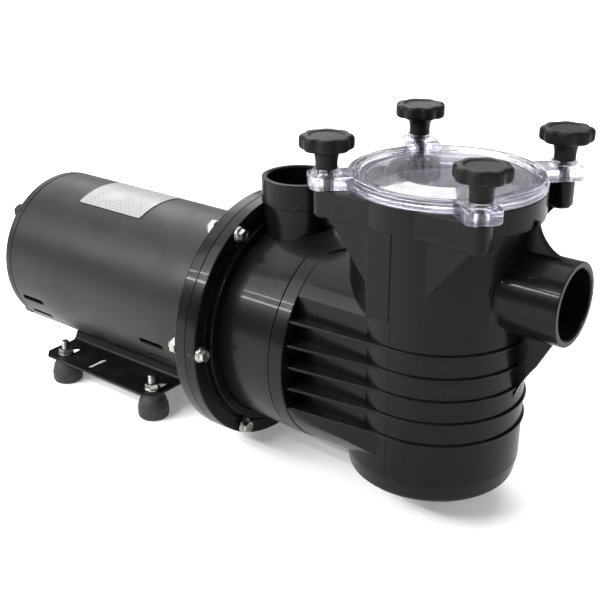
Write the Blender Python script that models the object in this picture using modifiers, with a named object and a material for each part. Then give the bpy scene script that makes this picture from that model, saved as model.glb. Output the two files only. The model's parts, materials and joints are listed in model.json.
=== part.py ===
"""Pool pump with a strainer pot: plastic wet end, electric motor, steel base and rubber feet.

Metres, +Z up. The origin is on the floor under the middle of the pump. The shaft runs along X at
AXIS_Z, the suction port faces +X, the discharge port faces +Z, and Y = 0 is the plane of symmetry.
"""

import math

import bmesh
import bpy
from mathutils import Matrix, Vector

MM = 0.001
GAP = 0.3 * MM  # clearance between pieces that touch

# Shaft line and motor
AXIS_Z = 120.7 * MM
SHELL_R = 82.5 * MM
SHELL_WALL = 2.0 * MM
SHELL_REAR_X = -280.0 * MM
SHELL_FRONT_X = -14.8 * MM
BELL_REAR_X = -304.0 * MM
SHAFT_R = 7.9 * MM
SHAFT_END_X = 35.0 * MM
BEARING_R = 20.0 * MM
BEARING_WIDTH = 12.0 * MM
THROUGH_BOLT_CIRCLE_R = 75.5 * MM
THROUGH_BOLT_R = 2.5 * MM
BOLT_FACE_X = -293.3 * MM
CORE_X = (-205.0 * MM, -115.0 * MM)
CORE_R = 79.0 * MM
ROTOR_R = 49.2 * MM
STATOR_BORE_R = 49.8 * MM
WINDING_LENGTH = 24.0 * MM
VENT_LENGTH = 32.0 * MM
VENT_WIDTH = 6.5 * MM
VENT_X = (-256.0 * MM, -82.0 * MM)
VENT_ANGLES = (-22.0, -37.0)
LABEL_X = (-217.0 * MM, -130.0 * MM)
LABEL_ANGLES = (64.0, 104.0)

# Pump end
PLATE_X = (-10.0 * MM, 3.0 * MM)
FLANGE_R = 117.5 * MM
FLANGE_FACE_X = 14.5 * MM
LAND_R = 101.0 * MM
LAND_X = 19.5 * MM
SEAM_X = 78.7 * MM
BARREL_R = 95.4 * MM
BARREL_ROOT_R = 92.5 * MM
CHAMBER_R = 88.5 * MM
COLLAR_X = 93.0 * MM
BOLT_CIRCLE_R = 110.0 * MM
BOLT_R = 4.0 * MM
BOLT_COUNT = 6
IMPELLER_R = 64.0 * MM
IMPELLER_BORE_R = 6.3 * MM
IMPELLER_X = (15.0 * MM, 32.0 * MM)
SHROUD = 3.0 * MM
VANE_COUNT = 6
EYE_R = 23.0 * MM
NOZZLE_R = 31.0 * MM
NOZZLE_BORE_R = 26.5 * MM
DISCHARGE_X = 39.0 * MM
DISCHARGE_TOP_Z = 261.2 * MM
PORT_R = 34.0 * MM
PORT_BORE_R = 28.5 * MM
PAD_X = (4.0 * MM, 14.0 * MM)
PAD_HALF_WIDTH = 30.0 * MM
PAD_HEIGHT = 12.0 * MM

# Strainer pot
POT_X = 186.0 * MM
POT_R = 75.2 * MM
POT_WALL = 4.4 * MM
POT_BASE_Z = 31.2 * MM
POT_FLOOR_Z = 36.4 * MM
SIDE_WALL_Y = 71.5 * MM
PANEL_Y = 76.2 * MM
PANEL_X = (163.0 * MM, 185.0 * MM)
PANEL_UNDER_Z = 185.5 * MM
RIB_R = 77.2 * MM
RIB_THICKNESS = 2.2 * MM
RIB_LEVELS = [(83.7 + 20.0 * step) * MM for step in range(5)]
RIB_ROOT_Y = 89.0 * MM
RIM_Z = (260.0 * MM, 282.0 * MM)
RIM_R = 80.5 * MM
RIM_NOTCH_X = 50.0 * MM  # how far the square rim reaches between the two front bosses
GUSSET_FOOT_Z = 213.0 * MM
GUSSET_ROOT_X = 29.0 * MM
GUSSET_THICKNESS = 4.0 * MM
WEB_THICKNESS = 6.0 * MM
SUCTION_Z = 207.0 * MM
SUCTION_FACE_X = 304.0 * MM

# Lid and its knobs
LID_Z = (282.3 * MM, 291.8 * MM)
LID_R = 80.4 * MM
LUG_OFFSET = 68.0 * MM
LUG_R = 15.0 * MM
LUG_TOP_Z = 294.6 * MM
LUG_ROOT = 0.8  # how far out from the pot's axis a lug starts, as a share of LUG_OFFSET
BOSS_R = 9.5 * MM
SPIGOT_R = 66.6 * MM
KNOB_STUD_R = 4.85 * MM
KNOB_HOLE_R = 5.5 * MM
KNOB_STEM_R = 8.7 * MM
KNOB_HEAD_R = 21.8 * MM
KNOB_HEAD_Z = (312.5 * MM, 324.0 * MM)
KNOB_LOBES = 8
WASHER_Z = (LUG_TOP_Z + GAP, LUG_TOP_Z + 2.4 * MM)

# Base and feet
BASE_X = (-250.0 * MM, -87.0 * MM)
BASE_HALF_WIDTH = 76.0 * MM
BASE_UNDER_Z = 27.0 * MM
BASE_THICKNESS = 2.5 * MM
BEND_Y = 32.0 * MM
CRADLE_ANGLE = 18.0
SLOT_Y = (44.0 * MM, 69.0 * MM)
SLOT_X = -186.5 * MM
SLOT_WIDTH = 7.0 * MM
STUD_SLOT_WIDTH = 9.4 * MM
FOOT_X = (-229.0 * MM, -99.6 * MM)
FOOT_Y = 61.9 * MM
FOOT_R = 15.6 * MM
FOOT_SHOULDER_Z = 12.0 * MM
FOOT_NECK_R = 10.5 * MM
STUD_R = 4.0 * MM
STUD_Z = (12.3 * MM, 45.0 * MM)
NUT_R = 7.4 * MM
NUT_HEIGHT = 6.5 * MM

# Facets round a circle, by its size
COARSE = 32
MEDIUM = 20
FINE = 12

MOTOR_ORIGIN = Vector((0.0, 0.0, AXIS_Z))
POT_ORIGIN = Vector((POT_X, 0.0, 0.0))
LUG_PLACES = [(POT_X + sx * LUG_OFFSET, sy * LUG_OFFSET) for sx, sy in ((1, -1), (-1, -1), (-1, 1), (1, 1))]
FOOT_PLACES = [(x, y) for x in FOOT_X for y in (-FOOT_Y, FOOT_Y)]
AXES = {"X": Matrix.Rotation(math.pi / 2, 4, "Y"), "Z": Matrix.Identity(4)}
PLANES = {
    "XY": Matrix.Identity(4),
    "YZ": Matrix(((0, 0, 1, 0), (1, 0, 0, 0), (0, 1, 0, 0), (0, 0, 0, 1))),
    "XZ": Matrix(((1, 0, 0, 0), (0, 0, -1, 0), (0, 1, 0, 0), (0, 0, 0, 1))),
}

for old in list(bpy.data.objects):
    bpy.data.objects.remove(old, do_unlink=True)
PARTS = bpy.data.collections.new("pool_pump")
CUTTERS = bpy.data.collections.new("pool_pump_cutters")
CUTTERS.hide_render = True
for group in (PARTS, CUTTERS):
    bpy.context.scene.collection.children.link(group)


# ---- building blocks -------------------------------------------------------------------------


def finish(name, colour, roughness=0.5, metallic=0.0):
    """A Principled material with one colour."""
    made = bpy.data.materials.new(name)
    made.use_nodes = True
    shader = made.node_tree.nodes["Principled BSDF"]
    shader.inputs["Base Color"].default_value = (*colour, 1.0)
    shader.inputs["Roughness"].default_value = roughness
    shader.inputs["Metallic"].default_value = metallic
    return made


def placed(name, mesh, matrix):
    """A new helper object, in the cutters' collection until it is made a part."""
    obj = bpy.data.objects.new(name, mesh)
    obj.matrix_world = matrix
    obj.display_type = "WIRE"
    obj.hide_render = True
    CUTTERS.objects.link(obj)
    return obj


def as_part(obj, look, axis_empty=None):
    """Moves a finished solid into the object's own collection, with its material."""
    CUTTERS.objects.unlink(obj)
    PARTS.objects.link(obj)
    obj.display_type = "TEXTURED"
    obj.hide_render = False
    obj.data.materials.clear()
    obj.data.materials.append(look)
    if axis_empty:
        obj.parent = axis_empty
        obj.matrix_parent_inverse = axis_empty.matrix_world.inverted()
    return obj


def turned(name, profile, origin=MOTOR_ORIGIN, axis="X", steps=MEDIUM):
    """A solid of revolution from (radius, height) points, closed unless its ends are on the axis."""
    area = sum(a[0] * b[1] - b[0] * a[1] for a, b in zip(profile, profile[1:] + profile[:1]))
    points = profile if area < 0 else profile[::-1]
    open_ends = any(radius == 0.0 for radius, _ in profile)
    while open_ends and (points[0][0] != 0.0 or points[-1][0] != 0.0):
        points = points[1:] + points[:1]
    mesh = bpy.data.meshes.new(name)
    links = [(i, i + 1) for i in range(len(points) - 1)]
    if not open_ends:
        links.append((len(points) - 1, 0))
    mesh.from_pydata([(radius, 0.0, height) for radius, height in points], links, [])
    obj = placed(name, mesh, Matrix.Translation(origin) @ AXES[axis])
    screw = obj.modifiers.new("turn", "SCREW")
    screw.steps = screw.render_steps = steps
    screw.use_merge_vertices = True
    screw.merge_threshold = 0.00001
    return obj


def cylinder(name, radius, low, high, origin=MOTOR_ORIGIN, axis="X", sides=MEDIUM, top_radius=None):
    """A cylinder, cone or hexagonal bar from low to high along its axis."""
    form = bmesh.new()
    upper = radius if top_radius is None else top_radius
    bmesh.ops.create_cone(
        form, cap_ends=True, segments=sides, radius1=radius, radius2=upper, depth=high - low,
        matrix=Matrix.Translation((0.0, 0.0, (low + high) / 2)),
    )
    mesh = bpy.data.meshes.new(name)
    form.to_mesh(mesh)
    form.free()
    return placed(name, mesh, Matrix.Translation(origin) @ AXES[axis])


def box(name, low, high, spin=0.0, origin=MOTOR_ORIGIN, axis="X"):
    """A box between two corners, turned by spin degrees about an axis through its origin."""
    form = bmesh.new()
    size = Vector(high) - Vector(low)
    middle = (Vector(high) + Vector(low)) / 2
    bmesh.ops.create_cube(form, size=1.0, matrix=Matrix.Translation(middle) @ Matrix.Diagonal((*size, 1.0)))
    mesh = bpy.data.meshes.new(name)
    form.to_mesh(mesh)
    form.free()
    return placed(name, mesh, Matrix.Translation(origin) @ Matrix.Rotation(math.radians(spin), 4, axis))


def arc(centre, radius, start, end, steps=8):
    """Points on a circle, from start to end degrees."""
    angles = [math.radians(start + (end - start) * i / steps) for i in range(steps + 1)]
    return [(centre[0] + radius * math.cos(a), centre[1] + radius * math.sin(a)) for a in angles]


def prism(name, outline, low, high, plane="XY", origin=(0.0, 0.0, 0.0), spin=0.0):
    """A flat outline in one plane, extruded square to it from low to high."""
    curve = bpy.data.curves.new(name, "CURVE")
    curve.dimensions = "2D"
    curve.fill_mode = "BOTH"
    curve.extrude = (high - low) / 2
    spline = curve.splines.new("POLY")
    spline.points.add(len(outline) - 1)
    spline.use_cyclic_u = True
    for point, (across, up) in zip(spline.points, outline):
        point.co = (across, up, 0.0, 1.0)
    guide = bpy.data.objects.new(name + "_outline", curve)
    CUTTERS.objects.link(guide)
    bpy.context.view_layer.update()
    mesh = bpy.data.meshes.new_from_object(guide.evaluated_get(bpy.context.evaluated_depsgraph_get()))
    bpy.data.objects.remove(guide, do_unlink=True)
    form = bmesh.new()
    form.from_mesh(mesh)
    bmesh.ops.remove_doubles(form, verts=form.verts, dist=0.00001)
    bmesh.ops.recalc_face_normals(form, faces=form.faces)
    form.to_mesh(mesh)
    form.free()
    shift = -1.0 if plane == "XZ" else 1.0
    middle = Matrix.Translation((0.0, 0.0, shift * (low + high) / 2))
    turn = Matrix.Rotation(math.radians(spin), 4, "Z")
    return placed(name, mesh, Matrix.Translation(origin) @ turn @ PLANES[plane] @ middle)


def merged(name, pieces):
    """One mesh object holding several separate closed shapes, for cutting many holes at once."""
    form = bmesh.new()
    for piece in pieces:
        copy = piece.data.copy()
        copy.transform(piece.matrix_world)
        form.from_mesh(copy)
        bpy.data.meshes.remove(copy)
        bpy.data.objects.remove(piece, do_unlink=True)
    mesh = bpy.data.meshes.new(name)
    form.to_mesh(mesh)
    form.free()
    return placed(name, mesh, Matrix.Identity(4))


def combine(target, operation, others):
    for other in others:
        boolean = target.modifiers.new(other.name, "BOOLEAN")
        boolean.operation = operation
        boolean.solver = "EXACT"
        boolean.object = other
    return target


def join(target, *others):
    return combine(target, "UNION", others)


def cut(target, *others):
    return combine(target, "DIFFERENCE", others)


def around(count, start=0.0):
    """Evenly spaced angles in degrees."""
    return [start + 360.0 * i / count for i in range(count)]


def on_circle(radius, angle):
    """The (Y, Z) place on a circle round the shaft, where 0 degrees is -Y and 90 is up."""
    turn = math.radians(angle)
    return Vector((0.0, -radius * math.cos(turn), AXIS_Z + radius * math.sin(turn)))


# ---- materials -------------------------------------------------------------------------------

BLACK_PLASTIC = finish("black_plastic", (0.030, 0.031, 0.033), 0.42)
KNOB_PLASTIC = finish("knob_plastic", (0.035, 0.036, 0.038), 0.50)
CLEAR_PLASTIC = finish("clear_plastic", (0.80, 0.82, 0.90), 0.08)
BASKET_PLASTIC = finish("basket_plastic", (0.72, 0.73, 0.75), 0.45)
MOTOR_PAINT = finish("motor_paint", (0.060, 0.061, 0.064), 0.55)
BASE_PAINT = finish("base_paint", (0.035, 0.036, 0.038), 0.50)
RUBBER = finish("rubber", (0.022, 0.022, 0.023), 0.80)
SEAL_RUBBER = finish("seal_rubber", (0.028, 0.028, 0.030), 0.60)
CERAMIC = finish("ceramic", (0.82, 0.80, 0.75), 0.30)
ZINC = finish("zinc", (0.72, 0.72, 0.70), 0.30, 1.0)
STEEL = finish("steel", (0.55, 0.56, 0.58), 0.35, 1.0)
CORE_STEEL = finish("core_steel", (0.30, 0.31, 0.33), 0.55, 1.0)
COPPER = finish("copper", (0.65, 0.32, 0.16), 0.40, 1.0)
LABEL = finish("label", (0.78, 0.79, 0.80), 0.35)
CAPACITOR_CASE = finish("capacitor_case", (0.04, 0.04, 0.05), 0.45)


# ---- pump end --------------------------------------------------------------------------------


def flange_holes(name):
    """The six bolt holes through the volute flange and the seal plate."""
    drills = [
        cylinder(f"{name}_{i}", BOLT_R + 0.5 * MM, -40 * MM, 40 * MM, on_circle(BOLT_CIRCLE_R, angle), sides=8)
        for i, angle in enumerate(around(BOLT_COUNT))
    ]
    return merged(name, drills)


def volute_housing():
    """Flanged barrel with the vertical discharge port and the pad that it stands on."""
    seam = SEAM_X - GAP
    housing = turned("volute_housing", [
        (0.0, PLATE_X[1] + GAP), (FLANGE_R, PLATE_X[1] + GAP), (FLANGE_R, FLANGE_FACE_X),
        (LAND_R, FLANGE_FACE_X), (LAND_R, LAND_X), (BARREL_ROOT_R, LAND_X), (BARREL_R, seam), (0.0, seam),
    ], steps=COARSE)
    port_axis = (DISCHARGE_X, 0.0, 0.0)
    neck = cylinder("discharge_neck", PORT_R - 2.5 * MM, 160 * MM, 242 * MM, port_axis, "Z")
    mouth = cylinder("discharge_mouth", PORT_R, 232 * MM, DISCHARGE_TOP_Z, port_axis, "Z")
    pad = prism("wet_end_pad", [
        (-PAD_HALF_WIDTH, 0.0), (PAD_HALF_WIDTH, 0.0), (PAD_HALF_WIDTH - 4 * MM, PAD_HEIGHT),
        (4 * MM - PAD_HALF_WIDTH, PAD_HEIGHT),
    ], *PAD_X, "YZ")
    chamber = cylinder("volute_chamber", CHAMBER_R, -10 * MM, 100 * MM, sides=COARSE)
    groove = turned("o_ring_groove", [
        (CHAMBER_R - 2 * MM, -5 * MM), (93.5 * MM, -5 * MM), (93.5 * MM, 7.3 * MM), (CHAMBER_R - 2 * MM, 7.3 * MM),
    ], steps=COARSE)
    bore = cylinder("discharge_bore", PORT_BORE_R, 180 * MM, 280 * MM, port_axis, "Z")
    join(housing, neck, mouth, pad)
    cut(housing, chamber, groove, bore, flange_holes("volute_bolt_holes"))
    return as_part(housing, BLACK_PLASTIC)


def trimmed_circle(radius, half_width, steps=8):
    """A circle round the shaft line with its two sides cut off straight, in Y and Z."""
    edge = math.degrees(math.acos(half_width / radius))
    middle = (0.0, AXIS_Z)
    return arc(middle, radius, edge, 180 - edge, steps) + arc(middle, radius, 180 + edge, 360 - edge, steps)


def pot_plan(radius, root_y, steps=12):
    """A round nose about the pot's axis with straight sides that widen towards the volute."""
    reach = POT_X - COLLAR_X
    lean = math.asin(radius / math.hypot(reach, root_y)) - math.atan2(root_y, reach)
    turn = 90.0 - math.degrees(lean)
    nose = arc((POT_X, 0.0), radius, -turn, turn, steps)
    back = COLLAR_X - 2 * MM
    return nose + [(back, root_y), (back, -root_y)]


def rim_plan():
    """A square rounded at the four knob bosses and open between the two at the front."""
    outline = []
    for (x, y), first, last in zip(LUG_PLACES, (90, 270, 180, 90), (-90, 180, 90, -90)):
        outline += arc((x, y), BOSS_R, first, last, (first - last) // 30)
    notch, inner = POT_X + RIM_NOTCH_X, LUG_OFFSET - BOSS_R
    return outline + [(notch, inner), (notch, -inner)]


def gusset_plan():
    """A plate under two knob bosses on one side, right through the pot, as X from its axis and Z."""
    reach, top = LUG_OFFSET - 2 * MM, RIM_Z[0] + 1 * MM
    side = [(reach, top), (reach - 2 * MM, top - 4 * MM), (GUSSET_ROOT_X, GUSSET_FOOT_Z)]
    return side + [(-across, up) for across, up in reversed(side)]


def suction_web_plan():
    """The upright web in the plane of symmetry, above and below the suction port."""
    back, front = POT_X + 60 * MM, SUCTION_FACE_X - 4 * MM
    lower = arc((348 * MM, 90 * MM), 90 * MM, 180, 142)
    upper = arc((front, 272 * MM), 32 * MM, 270, 190, 6)
    under = [(290 * MM, 170 * MM), (front, SUCTION_Z - 17 * MM)]
    return [(back, RIB_LEVELS[0])] + lower + under + upper + [(back, RIM_Z[0] + 2 * MM)]


def strainer_body():
    """Ribbed strainer pot, moulded in one with the front of the volute and the suction port."""
    body = cylinder("strainer_body", BARREL_R, SEAM_X, COLLAR_X, sides=COARSE)
    shoulder = prism("shoulder", trimmed_circle(BARREL_R - 0.4 * MM, SIDE_WALL_Y), SEAM_X + 4 * MM, POT_X, "YZ")
    below = (SEAM_X, -BARREL_R, 0.0), (POT_X + 1 * MM, BARREL_R, RIB_LEVELS[0] - 1.7 * MM)
    cut(shoulder, box("shoulder_below", *below, origin=(0.0, 0.0, 0.0)))
    bowl = prism("bowl", pot_plan(POT_R + 0.3 * MM, RIB_ROOT_Y - 1 * MM), POT_BASE_Z - 8 * MM, RIB_LEVELS[0])
    combine(bowl, "INTERSECT", [
        cylinder("bowl_round", BARREL_R - 0.8 * MM, SEAM_X + 6 * MM, POT_X, sides=COARSE),
    ])
    pot = turned("pot", [
        (0.0, POT_BASE_Z), (POT_R - 9 * MM, POT_BASE_Z), (POT_R - 3 * MM, POT_BASE_Z + 5 * MM),
        (POT_R, POT_BASE_Z + 20 * MM), (POT_R, RIM_Z[0] + 4 * MM), (0.0, RIM_Z[0] + 4 * MM),
    ], POT_ORIGIN, "Z", COARSE)
    panels = (PANEL_X[0], -PANEL_Y, PANEL_UNDER_Z), (PANEL_X[1], PANEL_Y, RIM_Z[0] + 2 * MM)
    side_panels = box("side_panels", *panels, origin=(0.0, 0.0, 0.0))
    ribs = []
    for number, level in enumerate(RIB_LEVELS):
        root_y = min(RIB_ROOT_Y, math.sqrt((BARREL_R - 1 * MM) ** 2 - (level - AXIS_Z) ** 2))
        half = RIB_THICKNESS / 2
        ribs.append(prism(f"rib_{number + 1}", pot_plan(RIB_R, root_y), level - half, level + half))
    rim_square = prism("rim_square", rim_plan(), *RIM_Z)
    rim_round = cylinder("rim_round", RIM_R, RIM_Z[0] + 0.5 * MM, RIM_Z[1] - 0.4 * MM, POT_ORIGIN, "Z", COARSE)
    fins = []
    for middle in (-LUG_OFFSET, LUG_OFFSET):
        sides = middle - GUSSET_THICKNESS / 2, middle + GUSSET_THICKNESS / 2
        fins.append(prism(f"gusset_{len(fins) + 1}", gusset_plan(), *sides, "XZ", POT_ORIGIN))
    web = prism("suction_web", suction_web_plan(), -WEB_THICKNESS / 2, WEB_THICKNESS / 2, "XZ")
    suction_axis = (0.0, 0.0, SUCTION_Z)
    port = cylinder("suction_port", PORT_R, 240 * MM, SUCTION_FACE_X, suction_axis)
    saddle = cylinder("suction_saddle", PORT_R + 4 * MM, 230 * MM, 262 * MM, suction_axis)
    join(body, shoulder, bowl, pot, side_panels, *ribs, rim_square, rim_round, *fins, web, port, saddle)

    front_space = prism(
        "front_space", trimmed_circle(BARREL_R - 5 * MM, SIDE_WALL_Y - 4.6 * MM), SEAM_X - 5 * MM, 150 * MM, "YZ",
    )
    cut(front_space, cylinder("pot_keep", POT_R, 0.0, 300 * MM, POT_ORIGIN, "Z", COARSE))
    nozzle = cylinder("nozzle", NOZZLE_R, 61 * MM, POT_X - POT_R + 2 * MM)
    nozzle_bore = cylinder("nozzle_bore", NOZZLE_BORE_R, 50 * MM, POT_X - 40 * MM)
    pot_space = cylinder("pot_space", POT_R - POT_WALL, POT_FLOOR_Z, 300 * MM, POT_ORIGIN, "Z", COARSE)
    suction_bore = cylinder("suction_bore", PORT_BORE_R, POT_X + 40 * MM, 320 * MM, suction_axis)
    stud_holes = merged("stud_holes", [
        cylinder(f"stud_hole_{i}", KNOB_HOLE_R, RIM_Z[0] + 3 * MM, 300 * MM, (x, y, 0.0), "Z", 12)
        for i, (x, y) in enumerate(LUG_PLACES)
    ])
    cut(body, front_space)
    join(body, nozzle)
    cut(body, nozzle_bore, pot_space, suction_bore, stud_holes)
    return as_part(body, BLACK_PLASTIC)


def seal_plate():
    """Back plate of the pump, with a pilot that enters the volute and a pocket for the shaft seal."""
    back, front = PLATE_X
    pilot_r = CHAMBER_R - GAP
    plate = turned("seal_plate", [
        (11 * MM, back), (FLANGE_R, back), (FLANGE_R, front), (pilot_r, front), (pilot_r, 9.5 * MM),
        (82 * MM, 9.5 * MM), (82 * MM, front + 1 * MM), (19.5 * MM, front + 1 * MM), (19.5 * MM, -4.5 * MM),
        (11 * MM, -4.5 * MM),
    ], steps=COARSE)
    cut(plate, flange_holes("plate_bolt_holes"))
    return as_part(plate, BLACK_PLASTIC)


def diffuser():
    """Static cover over the impeller: a neck that enters the nozzle, a disc and a slotted skirt."""
    neck_r, skirt_r = NOZZLE_BORE_R + 1 * MM, 80 * MM
    cover = turned("diffuser", [
        (neck_r, 36 * MM), (neck_r, 60.6 * MM), (NOZZLE_R, 60.6 * MM), (NOZZLE_R, 40 * MM), (skirt_r, 40 * MM),
        (skirt_r, 10 * MM), (skirt_r - 4 * MM, 10 * MM), (skirt_r - 4 * MM, 36 * MM),
    ])
    ports = merged("diffuser_ports", [
        box(f"port_{i}", (14 * MM, -15 * MM, 60 * MM), (30 * MM, 15 * MM, 95 * MM), spin)
        for i, spin in enumerate(around(6))
    ])
    cut(cover, ports)
    return as_part(cover, BLACK_PLASTIC)


def vane_plan(start, steps=5):
    """One backward-curved vane, as Y and Z about the shaft line."""
    inner, outer, sweep, half = 26 * MM, IMPELLER_R - 3 * MM, 75.0, 1.2 * MM
    sides = ([], [])
    for i in range(steps + 1):
        radius = inner + (outer - inner) * i / steps
        turn = math.radians(start + sweep * i / steps)
        for side, sign in zip(sides, (1, -1)):
            side.append(((radius + sign * half) * math.cos(turn), (radius + sign * half) * math.sin(turn)))
    return [(y, AXIS_Z + z) for y, z in sides[0] + sides[1][::-1]]


def impeller(rotor):
    """Closed impeller: two shrouds with vanes between them, an eye ring and a hub on the shaft."""
    back, front = IMPELLER_X
    eye_front = front + 14 * MM
    wheel = turned("impeller", [
        (0.0, back), (IMPELLER_R, back), (IMPELLER_R, back + SHROUD), (18 * MM, back + SHROUD), (13 * MM, 24 * MM),
        (11 * MM, 41 * MM), (0.0, 42 * MM),
    ])
    shroud = turned("front_shroud", [
        (EYE_R, front - SHROUD), (IMPELLER_R, front - SHROUD), (IMPELLER_R, front), (EYE_R + SHROUD, front),
        (EYE_R + SHROUD, eye_front), (EYE_R, eye_front),
    ])
    sunk = SHROUD / 2  # how far a vane's ends go into the shrouds
    vanes = [
        prism(f"vane_{i}", vane_plan(start), back + sunk, front - sunk, "YZ")
        for i, start in enumerate(around(VANE_COUNT, 7.0))
    ]
    join(wheel, shroud, *vanes)
    cut(wheel, cylinder("impeller_bore", IMPELLER_BORE_R, 0.0, SHAFT_END_X + 2 * MM, sides=FINE))
    return as_part(wheel, BLACK_PLASTIC, rotor)


def flange_fasteners():
    """Six bolts through the flange, each with its nut behind the seal plate."""
    for number, angle in enumerate(around(BOLT_COUNT), 1):
        place = on_circle(BOLT_CIRCLE_R, angle)
        face = FLANGE_FACE_X + GAP
        bolt = cylinder(f"flange_bolt_{number}", 7.3 * MM, face, face + 1.8 * MM, place, sides=12)
        head = cylinder(f"bolt_head_{number}", 6.4 * MM, face + 1 * MM, face + 7 * MM, place, sides=6)
        shank = cylinder(f"bolt_shank_{number}", BOLT_R, -21 * MM, face + 1 * MM, place, sides=8)
        join(bolt, head, shank)
        as_part(bolt, ZINC)
        back = PLATE_X[0] - GAP
        nut = cylinder(f"flange_nut_{number}", 7.2 * MM, back - 6.5 * MM, back, place, sides=6)
        cut(nut, cylinder(f"nut_bore_{number}", BOLT_R + 2 * GAP, -40 * MM, 0.0, place, sides=8))
        as_part(nut, ZINC)


def ring(name, look, inner, outer, low, high, parent=None, origin=MOTOR_ORIGIN, axis="X", steps=MEDIUM):
    """A plain ring with square edges."""
    points = [(inner, low), (outer, low), (outer, high), (inner, high)]
    return as_part(turned(name, points, origin, axis, steps), look, parent)


def round_ring(name, look, radius, thickness, height, origin=MOTOR_ORIGIN, axis="X", steps=COARSE):
    """An O-ring."""
    points = arc((radius, height), thickness, 0, 300, 5)
    return as_part(turned(name, points, origin, axis, steps), look)


# ---- lid, basket and knobs -------------------------------------------------------------------


def lid(carrier):
    """Clear lid: thick rim, thin window, spigot that enters the pot, and four lugs."""
    low, high = LID_Z
    cover = turned("lid", [
        (0.0, low + 3.2 * MM), (SPIGOT_R - 3 * MM, low + 3.2 * MM), (SPIGOT_R - 3 * MM, 272.5 * MM),
        (SPIGOT_R, 272.5 * MM), (SPIGOT_R, low), (LID_R, low), (LID_R, high - 1.5 * MM), (LID_R - 1.5 * MM, high),
        (72 * MM, high), (70 * MM, high - 2.4 * MM), (0.0, high - 1.6 * MM),
    ], POT_ORIGIN, "Z", COARSE)
    for number, (x, y) in enumerate(LUG_PLACES, 1):
        outward = math.degrees(math.atan2(y, x - POT_X))
        root = Vector((POT_X + LUG_ROOT * (x - POT_X), LUG_ROOT * y))
        across = Vector((-y, x - POT_X)).normalized() * LUG_R
        plan = arc((x, y), LUG_R, outward - 90, outward + 90, 6) + [tuple(root + across), tuple(root - across)]
        join(cover, prism(f"lug_{number}", plan, low + 0.3 * MM, LUG_TOP_Z))
    cut(cover, merged("lug_holes", [
        cylinder(f"lug_hole_{i}", KNOB_HOLE_R + 0.3 * MM, 200 * MM, 320 * MM, (x, y, 0.0), "Z", 12)
        for i, (x, y) in enumerate(LUG_PLACES)
    ]))
    return as_part(cover, CLEAR_PLASTIC, carrier)


def strainer_basket(carrier):
    """Tapered basket with slotted walls, an opening for the inlet and a bar to lift it by."""
    top_r, base_r, wall = 65.0 * MM, 60.0 * MM, 2.0 * MM
    top, bottom = 270.0 * MM, POT_FLOOR_Z + GAP
    basket = turned("strainer_basket", [
        (0.0, bottom), (base_r, bottom), (top_r, top - 3 * MM), (top_r + 3 * MM, top - 3 * MM),
        (top_r + 3 * MM, top), (top_r - wall, top), (base_r - wall, bottom + wall), (0.0, bottom + wall),
    ], POT_ORIGIN, "Z", COARSE)
    bar = box("basket_bar", (-6 * MM, 1 * MM - top_r, 258 * MM), (6 * MM, top_r - 1 * MM, 264 * MM), 0.0, POT_ORIGIN)
    slots = merged("basket_slots", [
        box(f"slot_{tier}_{i}", (40 * MM, -5 * MM, low), (80 * MM, 5 * MM, low + 80 * MM), spin, POT_ORIGIN, "Z")
        for tier, low in enumerate((52 * MM, 144 * MM)) for i, spin in enumerate(around(10, 18.0))
    ])
    mouth = cylinder("basket_mouth", 30 * MM, POT_X + 30 * MM, POT_X + 90 * MM, (0.0, 0.0, SUCTION_Z), sides=FINE)
    join(basket, bar)
    cut(basket, slots, mouth)
    return as_part(basket, BASKET_PLASTIC, carrier)


def knob_plan():
    """The lobed outline of a knob's head."""
    count = KNOB_LOBES * 4
    points = []
    for i in range(count):
        turn = 2 * math.pi * i / count
        radius = KNOB_HEAD_R - 1.6 * MM * (0.5 - 0.5 * math.cos(KNOB_LOBES * turn))
        points.append((radius * math.cos(turn), radius * math.sin(turn)))
    return points


def knobs():
    """Four knobs with moulded-in studs, each on its own washer."""
    for number, (x, y) in enumerate(LUG_PLACES, 1):
        place = (x, y, 0.0)
        axis = bpy.data.objects.new(f"knob_{number}_axis", None)
        axis.location = place
        PARTS.objects.link(axis)
        bpy.context.view_layer.update()
        low, high = KNOB_HEAD_Z
        knob = prism(f"knob_{number}", knob_plan(), low, high, "XY", place)
        stem = turned(f"knob_stem_{number}", [
            (0.0, 264.5 * MM), (KNOB_STUD_R, 264.5 * MM), (KNOB_STUD_R, WASHER_Z[1] + GAP),
            (KNOB_STEM_R + 0.5 * MM, WASHER_Z[1] + GAP), (KNOB_STEM_R, WASHER_Z[1] + 5 * MM),
            (KNOB_STEM_R, low - 1 * MM), (KNOB_STEM_R + 2 * MM, low + 1.5 * MM), (0.0, low + 3 * MM),
        ], place, "Z", FINE)
        dish = cylinder(f"knob_dish_{number}", 15 * MM, high - 1.2 * MM, high + 4 * MM, place, "Z", FINE, 20 * MM)
        join(knob, stem)
        cut(knob, dish)
        as_part(knob, KNOB_PLASTIC, axis)
        washer_r = 11 * MM
        ring(f"knob_washer_{number}", CLEAR_PLASTIC, KNOB_HOLE_R, washer_r, *WASHER_Z, axis, place, "Z", FINE)


# ---- motor -----------------------------------------------------------------------------------


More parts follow.
